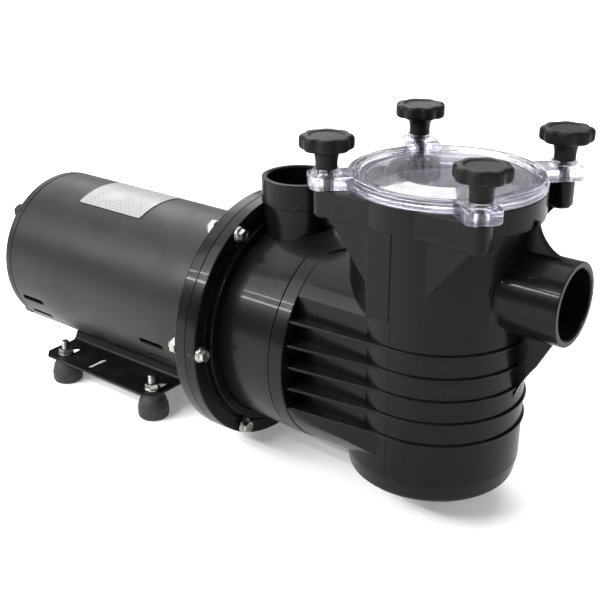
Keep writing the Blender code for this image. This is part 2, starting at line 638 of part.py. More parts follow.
def motor_shell():
    """Rolled steel shell with vent slots low on both sides."""
    shell = turned("motor_shell", [
        (SHELL_R - SHELL_WALL, SHELL_REAR_X), (SHELL_R, SHELL_REAR_X), (SHELL_R, SHELL_FRONT_X),
        (SHELL_R - SHELL_WALL, SHELL_FRONT_X),
    ], steps=COARSE)
    half_l, half_w = VENT_LENGTH / 2, VENT_WIDTH / 2
    slots = []
    for middle in VENT_X:
        for angle in VENT_ANGLES:
            for side in (angle, 180 - angle):
                low = (middle - half_l, -SHELL_R - 5 * MM, -half_w)
                high = (middle + half_l, 5 * MM - SHELL_R, half_w)
                slots.append(box(f"vent_{len(slots)}", low, high, -side))
    cut(shell, merged("vent_slots", slots))
    return as_part(shell, MOTOR_PAINT)


def bolt_passages(name, radius, low, high):
    drills = [
        cylinder(f"{name}_{i}", radius, low, high, on_circle(THROUGH_BOLT_CIRCLE_R, angle), sides=8)
        for i, angle in enumerate(around(4, 45.0))
    ]
    return merged(name, drills)


def rear_end_bell():
    """Domed rear cover with the rear bearing's housing inside it."""
    joint, spigot_r = SHELL_REAR_X - GAP, SHELL_R - SHELL_WALL - 1.5 * MM
    housing_r = BEARING_R + 4.5 * MM
    bell = turned("rear_end_bell", [
        (SHELL_R, joint), (SHELL_R, joint - 8 * MM), (78 * MM, joint - 10.7 * MM), (66 * MM, joint - 13.2 * MM),
        (52 * MM, BELL_REAR_X + 4 * MM), (20 * MM, BELL_REAR_X), (0.0, BELL_REAR_X), (0.0, -299 * MM),
        (14 * MM, -299 * MM), (14 * MM, -290 * MM), (BEARING_R + GAP, -290 * MM), (BEARING_R + GAP, -277 * MM),
        (housing_r, -277 * MM), (housing_r, -298 * MM), (50 * MM, -296 * MM), (64 * MM, -290 * MM),
        (spigot_r - 2.5 * MM, joint - 6 * MM), (spigot_r - 2.5 * MM, joint + 6 * MM), (spigot_r, joint + 6 * MM),
        (spigot_r, joint),
    ], steps=COARSE)
    pads = merged("rear_bolt_pads", [
        cylinder(f"rear_pad_{i}", 7 * MM, BOLT_FACE_X, -284 * MM, on_circle(THROUGH_BOLT_CIRCLE_R, angle), sides=12)
        for i, angle in enumerate(around(4, 45.0))
    ])
    join(bell, pads)
    cut(bell, bolt_passages("rear_bolt_holes", THROUGH_BOLT_R + 0.5 * MM, -320 * MM, -250 * MM))
    return as_part(bell, MOTOR_PAINT)


def front_end_bell():
    """Front cover of the motor: a flange against the seal plate and the front bearing's housing."""
    back, front = SHELL_FRONT_X + GAP, PLATE_X[0] - GAP
    inner = SHELL_R - SHELL_WALL - 1.5 * MM
    bell = turned("front_end_bell", [
        (10 * MM, front), (SHELL_R, front), (SHELL_R, back), (inner, back), (inner, back - 8 * MM),
        (inner - 4 * MM, back - 8 * MM), (inner - 4 * MM, back), (BEARING_R + 4.5 * MM, back - 1 * MM),
        (BEARING_R + 4.5 * MM, back - 14 * MM), (BEARING_R + GAP, back - 14 * MM), (BEARING_R + GAP, back),
        (10 * MM, back),
    ], steps=COARSE)
    cut(bell, bolt_passages("front_bolt_holes", THROUGH_BOLT_R + 0.5 * MM, -40 * MM, front - 1.5 * MM))
    return as_part(bell, MOTOR_PAINT)


def motor_insides(rotor):
    """Core, windings, rotor, shaft, bearings and fan."""
    low, high = CORE_X
    core = turned("stator_core", [
        (STATOR_BORE_R, low), (CORE_R, low), (CORE_R, high), (STATOR_BORE_R, high),
    ])
    cut(core, bolt_passages("core_bolt_holes", THROUGH_BOLT_R + 0.5 * MM, -320 * MM, 0.0))
    as_part(core, CORE_STEEL)
    for name, near, far in (
        ("front_winding", high + GAP, high + WINDING_LENGTH), ("rear_winding", low - WINDING_LENGTH, low - GAP),
    ):
        inner, outer, round_by = 52 * MM, 70 * MM, 5 * MM
        plan = [
            (inner, near + round_by), (inner + round_by, near), (outer - round_by, near), (outer, near + round_by),
            (outer, far - round_by), (outer - round_by, far), (inner + round_by, far), (inner, far - round_by),
        ]
        as_part(turned(name, plan), COPPER)
    ring("rotor_core", CORE_STEEL, SHAFT_R + GAP, ROTOR_R, low, high, rotor)
    as_part(turned("motor_shaft", [
        (0.0, -292 * MM), (SHAFT_R, -290 * MM), (SHAFT_R, 14 * MM), (IMPELLER_BORE_R - GAP, IMPELLER_X[0] - GAP),
        (IMPELLER_BORE_R - GAP, SHAFT_END_X), (0.0, SHAFT_END_X + 1 * MM),
    ], steps=FINE), STEEL, rotor)
    for name, back in (("front", SHELL_FRONT_X + GAP - 1 * MM - BEARING_WIDTH), ("rear", -289.5 * MM)):
        end = back + BEARING_WIDTH
        ring(f"{name}_bearing_outer", STEEL, 16.2 * MM, BEARING_R, back, end)
        ring(f"{name}_bearing_inner", STEEL, SHAFT_R + GAP, 12.2 * MM, back, end, rotor)
    fan = turned("cooling_fan", [
        (0.0, -84 * MM), (14 * MM, -84 * MM), (14 * MM, -66 * MM), (60 * MM, -64 * MM), (60 * MM, -62 * MM),
        (0.0, -62 * MM),
    ])
    blades = merged("fan_blades", [
        box(f"blade_{i}", (-80 * MM, -1 * MM, 12 * MM), (-63 * MM, 1 * MM, 58 * MM), spin)
        for i, spin in enumerate(around(8))
    ])
    join(fan, blades)
    cut(fan, cylinder("fan_bore", SHAFT_R + GAP, -100 * MM, -40 * MM, sides=FINE))
    as_part(fan, KNOB_PLASTIC, rotor)


def motor_outsides():
    """Through bolts, start capacitor and label."""
    for number, angle in enumerate(around(4, 45.0), 1):
        place = on_circle(THROUGH_BOLT_CIRCLE_R, angle)
        head_x = BOLT_FACE_X - GAP
        bolt = cylinder(f"through_bolt_{number}", 5 * MM, head_x - 4 * MM, head_x, place, sides=6)
        join(bolt, cylinder(f"bolt_rod_{number}", THROUGH_BOLT_R, head_x - 1 * MM, -12.5 * MM, place, sides=8))
        as_part(bolt, ZINC)
    place = on_circle(52 * MM, 90.0)
    as_part(cylinder("capacitor", 17 * MM, -274 * MM, -236 * MM, place, sides=FINE), CAPACITOR_CASE)
    inner, outer = SHELL_R + GAP, SHELL_R + 0.9 * MM
    start, end = (180.0 - angle for angle in LABEL_ANGLES)
    plan = arc((0.0, AXIS_Z), outer, start, end, 10) + arc((0.0, AXIS_Z), inner, end, start, 10)
    as_part(prism("nameplate", plan, *LABEL_X, "YZ"), LABEL)


# ---- base and feet ---------------------------------------------------------------------------


def base_section():
    """The base plate's section in Y and Z: two flat flanges and a cradle under the motor."""
    inner = SHELL_R + GAP
    top = BASE_UNDER_Z + BASE_THICKNESS
    middle = (0.0, AXIS_Z)
    upper = [(BASE_HALF_WIDTH, top), (BEND_Y, top)]
    upper += arc(middle, inner, 270 + CRADLE_ANGLE, 270 - CRADLE_ANGLE, 12)
    upper += [(-BEND_Y, top), (-BASE_HALF_WIDTH, top)]
    lower_bend = BEND_Y - BASE_THICKNESS
    lower = [(-BASE_HALF_WIDTH, BASE_UNDER_Z), (-lower_bend, BASE_UNDER_Z)]
    lower += arc(middle, inner + BASE_THICKNESS, 271.5 - CRADLE_ANGLE, 268.5 + CRADLE_ANGLE, 12)
    lower += [(lower_bend, BASE_UNDER_Z), (BASE_HALF_WIDTH, BASE_UNDER_Z)]
    return upper + lower


def base_plate():
    """Pressed steel base with slotted flanges, two of the slots on each side for the foot studs."""
    plate = prism("base_plate", base_section(), *BASE_X, "YZ")
    clip = 10 * MM
    corners = []
    for x in BASE_X:
        for y in (-BASE_HALF_WIDTH, BASE_HALF_WIDTH):
            corner = box(f"clip_{x}_{y}", (-clip, -clip, -0.1), (clip, clip, 0.1), 45.0, (x, y, 0.0), "Z")
            corners.append(corner)
    slots = []
    for x, width in ((SLOT_X, SLOT_WIDTH), (FOOT_X[0], STUD_SLOT_WIDTH), (FOOT_X[1], STUD_SLOT_WIDTH)):
        for side in (-1, 1):
            near, far = sorted(side * y for y in SLOT_Y)
            low, high = (x - width / 2, near, 0.0), (x + width / 2, far, 60 * MM)
            slots.append(box(f"slot_{len(slots)}", low, high, origin=(0.0, 0.0, 0.0)))
    cut(plate, merged("base_openings", corners + slots))
    return as_part(plate, BASE_PAINT)


def feet():
    """Domed rubber feet, each with a threaded stud and its nut."""
    top = BASE_UNDER_Z - GAP
    nut_under = BASE_UNDER_Z + BASE_THICKNESS + GAP
    hole_r = STUD_R + 0.8 * MM
    for number, (x, y) in enumerate(FOOT_PLACES, 1):
        place = (x, y, 0.0)
        foot = turned(f"foot_{number}", [
            (0.0, 0.0), (FOOT_R - 1 * MM, 0.0), (FOOT_R, 3 * MM), (FOOT_R, FOOT_SHOULDER_Z), (14 * MM, 19 * MM),
            (FOOT_NECK_R, top), (hole_r, top), (hole_r, STUD_Z[0] - GAP), (0.0, STUD_Z[0] - GAP),
        ], place, "Z", MEDIUM)
        as_part(foot, RUBBER)
        stud = cylinder(f"foot_stud_{number}", STUD_R, *STUD_Z, place, "Z", 8)
        join(stud, cylinder(f"foot_nut_{number}", NUT_R, nut_under, nut_under + NUT_HEIGHT, place, "Z", 6))
        as_part(stud, ZINC)


# ---- assembly --------------------------------------------------------------------------------

rotor_axis = bpy.data.objects.new("rotor_axis", None)
rotor_axis.location = MOTOR_ORIGIN
lid_axis = bpy.data.objects.new("lid_axis", None)
lid_axis.location = POT_ORIGIN
for empty in (rotor_axis, lid_axis):
    PARTS.objects.link(empty)
bpy.context.view_layer.update()

volute_housing()
strainer_body()
seal_plate()
round_ring("body_o_ring", SEAL_RUBBER, 91.2 * MM, 1.7 * MM, 5.3 * MM)
diffuser()
impeller(rotor_axis)
ring("seal_rotating", SEAL_RUBBER, SHAFT_R + GAP, 15 * MM, 4.0 * MM, 14.5 * MM, rotor_axis)
ring("seal_seat", CERAMIC, 9.5 * MM, 19.2 * MM, -4.2 * MM, 3.7 * MM)
flange_fasteners()
lid(lid_axis)
round_ring("lid_o_ring", SEAL_RUBBER, 68.7 * MM, 1.7 * MM, 279.0 * MM, POT_ORIGIN, "Z")
strainer_basket(lid_axis)
knobs()
motor_shell()
rear_end_bell()
front_end_bell()
motor_insides(rotor_axis)
motor_outsides()
base_plate()
feet()

for part in PARTS.objects:
    if part.type == "MESH":
        part.data.shade_smooth()
        part.data.set_sharp_from_angle(angle=math.radians(35.0))
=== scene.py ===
"""Looks of the pool pump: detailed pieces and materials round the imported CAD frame."""

import json
import math

import bmesh
import bpy
from mathutils import Matrix, Vector


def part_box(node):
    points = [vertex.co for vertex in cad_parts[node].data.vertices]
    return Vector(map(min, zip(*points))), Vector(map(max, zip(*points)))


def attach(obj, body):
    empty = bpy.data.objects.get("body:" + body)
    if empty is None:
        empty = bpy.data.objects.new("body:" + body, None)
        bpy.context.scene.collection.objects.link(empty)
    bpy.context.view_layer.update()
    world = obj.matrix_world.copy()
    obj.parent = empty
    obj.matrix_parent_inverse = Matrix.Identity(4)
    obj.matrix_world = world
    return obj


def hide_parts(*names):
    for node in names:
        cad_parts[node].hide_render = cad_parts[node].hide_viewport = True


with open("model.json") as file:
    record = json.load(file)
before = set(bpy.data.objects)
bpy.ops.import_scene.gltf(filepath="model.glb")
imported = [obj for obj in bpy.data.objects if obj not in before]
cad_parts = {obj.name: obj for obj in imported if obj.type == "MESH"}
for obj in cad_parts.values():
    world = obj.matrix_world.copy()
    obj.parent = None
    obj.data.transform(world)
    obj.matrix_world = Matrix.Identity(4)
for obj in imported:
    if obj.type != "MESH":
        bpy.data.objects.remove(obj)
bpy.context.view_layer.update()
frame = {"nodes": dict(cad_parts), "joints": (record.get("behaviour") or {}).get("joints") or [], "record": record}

MM = 0.001


def low(node, axis):
    """A CAD node's lowest coordinate along an axis, 0 to 2."""
    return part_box(node)[0][axis]


def high(node, axis):
    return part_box(node)[1][axis]


def span(node, axis):
    return low(node, axis), high(node, axis)


def middle(node):
    return (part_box(node)[0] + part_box(node)[1]) / 2


JOINTS = {joint["name"]: joint for joint in frame["joints"]}

# Shaft line, motor and base, from the frame
AXIS_Z = JOINTS["rotor_spin"]["pos_m"][2]
SHAFT = Vector((0.0, 0.0, AXIS_Z))
SHELL_R = high("motor_shell", 1)
SHELL_X = span("motor_shell", 0)
SHELL_WALL = 2 * MM
BELL_X = (low("rear_end_bell", 0), SHELL_X[0] - 0.3 * MM)
VENT_X = (SHELL_X[0] + 24 * MM, SHELL_X[1] - 67.2 * MM)
VENT_SIZE = (32 * MM, 6.5 * MM)
THROUGH_BOLT_CIRCLE_R = 75.5 * MM
BASE_X = span("base_plate", 0)
BASE_Y = high("base_plate", 1)
BASE_Z = low("base_plate", 2)
BASE_THICKNESS = 2.5 * MM
FEET = [middle(f"foot_{number}") for number in range(1, 5)]
FOOT_TOP = high("foot_1", 2)
FOOT_R = (high("foot_1", 0) - low("foot_1", 0)) / 2

# Pump end
PLATE_X = (low("seal_plate", 0), low("volute_housing", 0) - 0.3 * MM)
FLANGE_R = high("seal_plate", 1)
FLANGE_X = (low("volute_housing", 0), 14.5 * MM)
BOLT_CIRCLE_R = abs(middle("flange_bolt_1").y)
LAND_R = 101 * MM
LAND_X = 19.5 * MM
SEAM_X = high("volute_housing", 0)
BARREL_R = 95.4 * MM
BARREL_ROOT_R = 92.5 * MM
CHAMBER_R = 88.5 * MM
COLLAR_X = SEAM_X + 14.5 * MM
DISCHARGE_X = 39 * MM
DISCHARGE_TOP = high("volute_housing", 2)
PORT_R = 34 * MM
PORT_BORE_R = 28.5 * MM

# Strainer pot, lid and knobs
POT_X = middle("lid").x
POT = Vector((POT_X, 0.0, 0.0))
POT_R = 75.2 * MM
POT_WALL = 4.4 * MM
POT_BASE = low("strainer_body", 2)
POT_FLOOR = low("strainer_basket", 2) - 0.3 * MM
SIDE_Y = 71.5 * MM
PANEL_X = (163 * MM, 185 * MM)
PANEL_Y = 76.2 * MM
PANEL_UNDER = 185.5 * MM
RIB_R = 77.2 * MM
RIB_LEVELS = [(83.7 + 20 * step) * MM for step in range(5)]
RIM_Z = (260 * MM, 282 * MM)
RIM_R = 80.5 * MM
RIM_NOTCH_X = POT_X + 50 * MM
GUSSET_FOOT = (29 * MM, 213 * MM)  # X from the pot's axis, and Z
GUSSET_THICKNESS = 4 * MM
SUCTION_Z = 207 * MM
SUCTION = Vector((0.0, 0.0, SUCTION_Z))
SUCTION_FACE = high("strainer_body", 0)
LID_R = 80.4 * MM
LID_Z = (282.3 * MM, 291.8 * MM)
LUG_TOP = low("knob_washer_1", 2) - 0.3 * MM
KNOBS = [Vector((*JOINTS[f"knob_{number}_turn"]["pos_m"][:2], 0.0)) for number in range(1, 5)]
LUG_OFFSET = KNOBS[0].x - POT_X
KNOB_TOP = high("knob_1", 2)
KNOB_R = (high("knob_1", 0) - low("knob_1", 0)) / 2
WASHER_Z = span("knob_washer_1", 2)

# Camera: lens in mm, place in metres, angles in radians
CAMERA_LENS = 63.42
CAMERA_PLACE = (0.5913, -0.7090, 0.5271)
CAMERA_DOWN = 0.4054
CAMERA_TURN = 0.6618

AXES = {"X": Matrix.Rotation(math.pi / 2, 4, "Y"), "Z": Matrix.Identity(4)}
PLANES = {
    "XY": Matrix.Identity(4),
    "YZ": Matrix(((0, 0, 1, 0), (1, 0, 0, 0), (0, 1, 0, 0), (0, 0, 0, 1))),
    "XZ": Matrix(((1, 0, 0, 0), (0, 0, -1, 0), (0, 1, 0, 0), (0, 0, 0, 1))),
}


# ---- mesh tools ------------------------------------------------------------------------------


def placed(name, form, matrix):
    """Turns a bmesh into an object whose mesh is in the row frame."""
    mesh = bpy.data.meshes.new(name)
    form.transform(matrix)
    bmesh.ops.recalc_face_normals(form, faces=form.faces)
    form.to_mesh(mesh)
    form.free()
    obj = bpy.data.objects.new(name, mesh)
    bpy.context.scene.collection.objects.link(obj)
    return obj


def rounded(points, radius, closed=True, steps=4):
    """An outline with its corners turned into arcs; a point's third number is its own radius."""
    result = []
    count = len(points)
    for i, point in enumerate(points):
        here = Vector(point[:2])
        size = point[2] if len(point) > 2 else radius
        if size <= 0 or (not closed and i in (0, count - 1)):
            result.append(tuple(here))
            continue
        back = Vector(points[i - 1][:2]) - here
        forth = Vector(points[(i + 1) % count][:2]) - here
        reach = min(size / math.tan(back.angle(forth) / 2), back.length * 0.45, forth.length * 0.45)
        first, last = here + back.normalized() * reach, here + forth.normalized() * reach
        for k in range(steps + 1):
            t = k / steps
            result.append(tuple(first * (1 - t) ** 2 + here * 2 * t * (1 - t) + last * t * t))
    return result


def in_mm(*points):
    """Points given in millimetres."""
    return [tuple(number * MM for number in point) for point in points]


def arc(centre, radius, start, end, steps=24):
    """Points on a circle, from start to end degrees."""
    angles = [math.radians(start + (end - start) * i / steps) for i in range(steps + 1)]
    return [(centre[0] + radius * math.cos(a), centre[1] + radius * math.sin(a)) for a in angles]


def lathe(name, profile, origin=SHAFT, axis="X", steps=144, lobes=0):
    """A turned solid from (radius, height) points round its section, open only where it meets the axis.

    With lobes, a point's third number is how far the hollows between the lobes cut in there."""
    form = bmesh.new()
    rings = []
    for point in profile:
        depth = point[2] if len(point) > 2 else 0.0
        if point[0] < 0.001 * MM:
            rings.append([form.verts.new((0.0, 0.0, point[1]))] * steps)
            continue
        ring = []
        for i in range(steps):
            turn = 2 * math.pi * i / steps
            radius = point[0] - depth * (0.5 - 0.5 * math.cos(lobes * turn)) ** 1.6
            ring.append(form.verts.new((radius * math.cos(turn), radius * math.sin(turn), point[1])))
        rings.append(ring)
    pairs = list(zip(rings, rings[1:]))
    if all(point[0] >= 0.001 * MM for point in profile):
        pairs.append((rings[-1], rings[0]))
    for one, two in pairs:
        for i in range(steps):
            j = (i + 1) % steps
            corners = list(dict.fromkeys((one[i], one[j], two[j], two[i])))
            if len(corners) > 2:
                form.faces.new(corners)
    return placed(name, form, Matrix.Translation(origin) @ AXES[axis])


def turned(name, profile, corner, origin=SHAFT, axis="X", steps=144):
    """A turned solid whose open profile has its corners rounded first."""
    return lathe(name, rounded(profile, corner, closed=False), origin, axis, steps)


def rod(name, radius, start, end, origin=SHAFT, axis="X", steps=96, edge=0.0):
    """A round bar from start to end along its axis, with rounded end edges."""
    profile = rounded([(0.0, start), (radius, start), (radius, end), (0.0, end)], edge, closed=False)
    return lathe(name, profile, origin, axis, steps)


def push(form, geometry, height):
    """Moves the vertices of what an extrusion made up by a height."""
    moved = [item for item in geometry if isinstance(item, bmesh.types.BMVert)]
    bmesh.ops.translate(form, verts=moved, vec=(0.0, 0.0, height))


def prism(name, outline, start, end, plane="XY", origin=(0.0, 0.0, 0.0), spin=0.0, edge=0.0, axis="Z"):
    """An outline in one plane extruded square to it, with its end edges bevelled by edge."""
    form = bmesh.new()
    if plane == "XZ":
        start, end = -end, -start
    face = form.faces.new([form.verts.new((across, up, start)) for across, up in outline])
    grown = bmesh.ops.extrude_face_region(form, geom=[face])["geom"]
    push(form, grown, end - start)
    if edge:
        caps = [item for item in form.edges if abs(item.verts[0].co.z - item.verts[1].co.z) < 0.001 * MM]
        bmesh.ops.bevel(
            form, geom=caps, offset=edge, segments=3, profile=0.5, affect="EDGES", clamp_overlap=True,
        )
    turn = Matrix.Rotation(math.radians(spin), 4, axis)
    return placed(name, form, Matrix.Translation(origin) @ turn @ PLANES[plane])


def swing(obj, turn, spin, axis="X", origin=SHAFT):
    """Turns a piece made at the frame's origin, then spins it about an axis through another origin."""
    obj.data.transform(Matrix.Translation(origin) @ Matrix.Rotation(math.radians(spin), 4, axis) @ turn)


def slot_outline(length, width, across=0.0, up=0.0):
    """A slot with round ends, its length along the first direction."""
    reach, radius = (length - width) / 2, width / 2
    return arc((across + reach, up), radius, -90, 90, 8) + arc((across - reach, up), radius, 90, 270, 8)


def combine(target, operation, others):
    """Booleans, applied at once; the other objects are used up."""
    for other in others:
        boolean = target.modifiers.new("boolean", "BOOLEAN")
        boolean.operation = operation
        boolean.solver = "EXACT"
        boolean.object = other
    graph = bpy.context.evaluated_depsgraph_get()
    mesh = bpy.data.meshes.new_from_object(target.evaluated_get(graph))
    target.modifiers.clear()
    target.data = mesh
    for other in others:
        bpy.data.objects.remove(other, do_unlink=True)
    return target


def join(target, *others):
    return combine(target, "UNION", others)


def cut(target, *others):
    return combine(target, "DIFFERENCE", others)


def merged(name, pieces):
    """Several closed shapes in one mesh, for cutting many holes at once."""
    form = bmesh.new()
    for piece in pieces:
        form.from_mesh(piece.data)
        bpy.data.objects.remove(piece, do_unlink=True)
    return placed(name, form, Matrix.Identity(4))


def around(count, start=0.0):
    return [start + 360.0 * i / count for i in range(count)]


def on_circle(radius, angle, x=0.0):
    """A place round the shaft: 0 degrees is towards -Y and 90 is up."""
    turn = math.radians(angle)
    return Vector((x, -radius * math.cos(turn), AXIS_Z + radius * math.sin(turn)))


def finish(obj, slot, body, *nodes, sharp=32.0):
    """Shades a finished piece, gives it its slot's material and hangs it on its CAD body."""
    obj.data.shade_smooth()
    obj.data.set_sharp_from_angle(angle=math.radians(sharp))
    weighted = obj.modifiers.new("weighted", "WEIGHTED_NORMAL")
    weighted.keep_sharp = True
    obj.data.materials.clear()
    obj.data.materials.append(LOOKS[slot])
    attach(obj, body)
    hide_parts(*nodes)


# ---- materials -------------------------------------------------------------------------------


class Look:
    """A Principled material under construction, with a few short ways to add nodes."""

    def __init__(self, name, colour, roughness, metallic=0.0, **constants):
        self.material = bpy.data.materials.new(name)
        self.material.use_nodes = True
        self.tree = self.material.node_tree
        self.shader = self.tree.nodes["Principled BSDF"]
        self.colour, self.roughness = colour, roughness
        self.shader.inputs["Base Color"].default_value = (*colour, 1.0)
        self.shader.inputs["Roughness"].default_value = roughness
        self.shader.inputs["Metallic"].default_value = metallic
        for key, value in constants.items():
            self.shader.inputs[key.replace("_", " ")].default_value = value
        self.place = self.node("ShaderNodeTexCoord").outputs["Object"]
        self.normal = None

    def feed(self, socket, value):
        """Links a socket from another one, or sets its value."""
        if isinstance(value, bpy.types.NodeSocket):
            self.tree.links.new(value, socket)
        else:
            socket.default_value = value

    def node(self, kind, **inputs):
        made = self.tree.nodes.new(kind)
        for key, value in inputs.items():
            self.feed(made.inputs[key.replace("_", " ")], value)
        return made

    def noise(self, scale, detail=4.0, roughness=0.55, stretch=None):
        place = self.place
        if stretch:
            place = self.node("ShaderNodeMapping", Vector=place, Scale=stretch).outputs["Vector"]
        return self.node(
            "ShaderNodeTexNoise", Vector=place, Scale=scale, Detail=detail, Roughness=roughness
        ).outputs["Fac"]

    def ramp(self, source, start, end, low_value=0.0, high_value=1.0):
        """A number remapped from start..end to low_value..high_value, and held there."""
        made = self.node("ShaderNodeMapRange", Value=source)
        sockets = ("From Min", "From Max", "To Min", "To Max")
        for socket, value in zip(sockets, (start, end, low_value, high_value)):
            made.inputs[socket].default_value = value
        return made.outputs["Result"]

    def mix(self, factor, first, second):
        made = self.tree.nodes.new("ShaderNodeMix")
        made.data_type = "RGBA"
        for socket, value in ((made.inputs[0], factor), (made.inputs[6], first), (made.inputs[7], second)):
            self.feed(socket, (*value, 1.0) if isinstance(value, tuple) else value)
        return made.outputs[2]

    def math(self, operation, first, second):
        made = self.tree.nodes.new("ShaderNodeMath")
        made.operation = operation
        for socket, value in zip(made.inputs, (first, second)):
            self.feed(socket, value)
        return made.outputs["Value"]

    def mottle(self, scale, spread):
        """Slow colour variation, spread either side of the base colour."""
        dark = tuple(channel * (1 - spread) for channel in self.colour)
        light = tuple(channel * (1 + spread) for channel in self.colour)
        return self.mix(self.ramp(self.noise(scale), 0.3, 0.7), dark, light)

    def grain(self, scale, depth, strength=0.4, **more):
        """Surface grain as bump, added on top of any bump so far."""
        height = self.noise(scale, **more)
        bump = self.node("ShaderNodeBump", Strength=strength, Distance=depth, Height=height)
        if self.normal:
            self.tree.links.new(self.normal, bump.inputs["Normal"])
        self.normal = bump.outputs["Normal"]
        self.tree.links.new(self.normal, self.shader.inputs["Normal"])

    def done(self, colour=None, roughness=None):
        if colour:
            self.tree.links.new(colour, self.shader.inputs["Base Color"])
        if roughness:
            self.tree.links.new(roughness, self.shader.inputs["Roughness"])
        return self.material

    def facing_up(self, start=0.3, end=0.95):
        """1 on surfaces that face up, 0 on upright ones."""
        normal = self.node("ShaderNodeNewGeometry").outputs["Normal"]
        up = self.node("ShaderNodeSeparateXYZ", Vector=normal).outputs["Z"]
        return self.ramp(up, start, end)


def moulded(name, colour, roughness, gloss_spread=0.10, grain=0.05, dust=0.02, **constants):
    """Moulded plastic: slow mottling, flow marks, faint orange peel, handling scuffs and settled dust."""
    look = Look(name, colour, roughness, **constants)
    base = look.mottle(26.0, 0.18)
    scuffs = look.ramp(look.noise(90.0, 6.0, 0.7, stretch=(1.0, 0.25, 1.6)), 0.62, 0.80)
    pale = tuple(min(1.0, channel * 2.0 + 0.010) for channel in colour)
    base = look.mix(look.math("MULTIPLY", scuffs, 0.25), base, pale)
    settled = look.math("MULTIPLY", look.facing_up(), look.ramp(look.noise(40.0, 5.0), 0.35, 0.75, 0.2, 1.0))
    base = look.mix(look.math("MULTIPLY", settled, dust), base, (0.42, 0.41, 0.39))
    smooth, dull = roughness - gloss_spread / 2, roughness + gloss_spread
    rough = look.ramp(look.noise(14.0, 5.0, 0.6), 0.3, 0.7, smooth, dull)
    rough = look.math("ADD", rough, look.math("MULTIPLY", scuffs, 0.12))
    look.grain(900.0, grain * MM, 0.35, detail=3.0)
    look.grain(60.0, 0.25 * MM, 0.10, detail=2.0)
    return look.done(base, rough)


def painted(name, colour, roughness, grain_scale=1500.0, grain=0.10, **constants):
    """Sprayed paint on steel: fine texture, faint streaks and a little dust."""
    look = Look(name, colour, roughness, **constants)
    base = look.mottle(18.0, 0.12)
    speck = look.ramp(look.noise(grain_scale * 0.8, 2.0), 0.60, 0.72)
    base = look.mix(look.math("MULTIPLY", speck, 0.35), base, tuple(channel * 1.8 for channel in colour))
    settled = look.math("MULTIPLY", look.facing_up(0.2, 1.0), look.ramp(look.noise(30.0, 6.0), 0.4, 0.7))
    base = look.mix(look.math("MULTIPLY", settled, 0.02), base, (0.45, 0.44, 0.42))
    rough = look.ramp(look.noise(22.0, 5.0), 0.3, 0.7, roughness - 0.05, roughness + 0.08)
    look.grain(grain_scale, grain * MM, 0.45, detail=2.0)
    look.grain(240.0, 0.10 * MM, 0.12, detail=2.0)
    return look.done(base, rough)


def metal(name, colour, roughness, tint, stretch=(1.0, 1.0, 1.0)):
    """Plated or ground metal: tinted patches, fine scratches and uneven polish."""
    look = Look(name, colour, roughness, 1.0)
    base = look.mix(look.ramp(look.noise(160.0, 5.0), 0.42, 0.68), colour, tint)
    stains = look.ramp(look.noise(420.0, 6.0, 0.7), 0.60, 0.78)
    base = look.mix(look.math("MULTIPLY", stains, 0.5), base, tuple(channel * 0.35 for channel in colour))
    rough = look.ramp(look.noise(500.0, 4.0, 0.6, stretch), 0.3, 0.7, roughness - 0.08, roughness + 0.18)
    look.grain(1400.0, 0.04 * MM, 0.35, detail=3.0, stretch=stretch)
    return look.done(base, rough)


def clear_plastic():
    """Clear polycarbonate with a faint violet cast where it is thick, and light handling haze."""
    look = Look(
        "clear_polycarbonate", (0.955, 0.955, 0.985), 0.04, IOR=1.56, Transmission_Weight=1.0, Alpha=0.82,
    )
    haze = look.ramp(look.noise(55.0, 6.0, 0.65), 0.48, 0.80, 0.02, 0.16)
    tint = look.mix(look.ramp(look.noise(20.0, 3.0), 0.3, 0.7), (0.965, 0.965, 0.990), (0.935, 0.935, 0.985))
    look.grain(120.0, 0.10 * MM, 0.06, detail=2.0)
    absorb = look.tree.nodes.new("ShaderNodeVolumeAbsorption")
    absorb.inputs["Color"].default_value = (0.52, 0.50, 0.86, 1.0)
    absorb.inputs["Density"].default_value = 12.0
    output = look.tree.nodes["Material Output"]
    look.tree.links.new(absorb.outputs["Volume"], output.inputs["Volume"])
    return look.done(tint, haze)


def rubber(name, colour, roughness):
    """Rubber: dull, pitted and greyed by dust in patches."""
    look = Look(name, colour, roughness)
    base = look.mottle(70.0, 0.25)
    bloom = look.ramp(look.noise(130.0, 6.0, 0.7), 0.50, 0.80)
    base = look.mix(look.math("MULTIPLY", bloom, 0.10), base, (0.20, 0.20, 0.20))
    rough = look.ramp(look.noise(50.0), 0.3, 0.7, roughness - 0.08, roughness + 0.08)
    look.grain(1100.0, 0.08 * MM, 0.5, detail=4.0)
    return look.done(base, rough)


def label_stock():
    """Pale label: satin film with rows of faint grey dashes, none of them letters."""
    look = Look("label_stock", (0.27, 0.275, 0.28), 0.42, Specular_IOR_Level=0.2)
    rows = look.node(
        "ShaderNodeTexBrick", Vector=look.place, Color1=(0.0, 0.0, 0.0, 1.0), Color2=(0.7, 0.7, 0.7, 1.0),
        Mortar=(1.0, 1.0, 1.0, 1.0), Scale=210.0, Mortar_Size=0.17, Mortar_Smooth=0.2, Bias=0.2,
    )
    rows.inputs["Brick Width"].default_value = 1.15
    rows.inputs["Row Height"].default_value = 0.62
    worn = look.ramp(look.noise(60.0, 5.0), 0.35, 0.65, 0.25, 0.75)
    ink = look.math("MULTIPLY", look.math("SUBTRACT", 1.0, rows.outputs["Color"]), worn)
    base = look.mix(ink, look.mottle(30.0, 0.03), (0.045, 0.047, 0.052))
    look.grain(500.0, 0.02 * MM, 0.2)
    return look.done(base, look.ramp(look.noise(40.0), 0.3, 0.7, 0.28, 0.44))


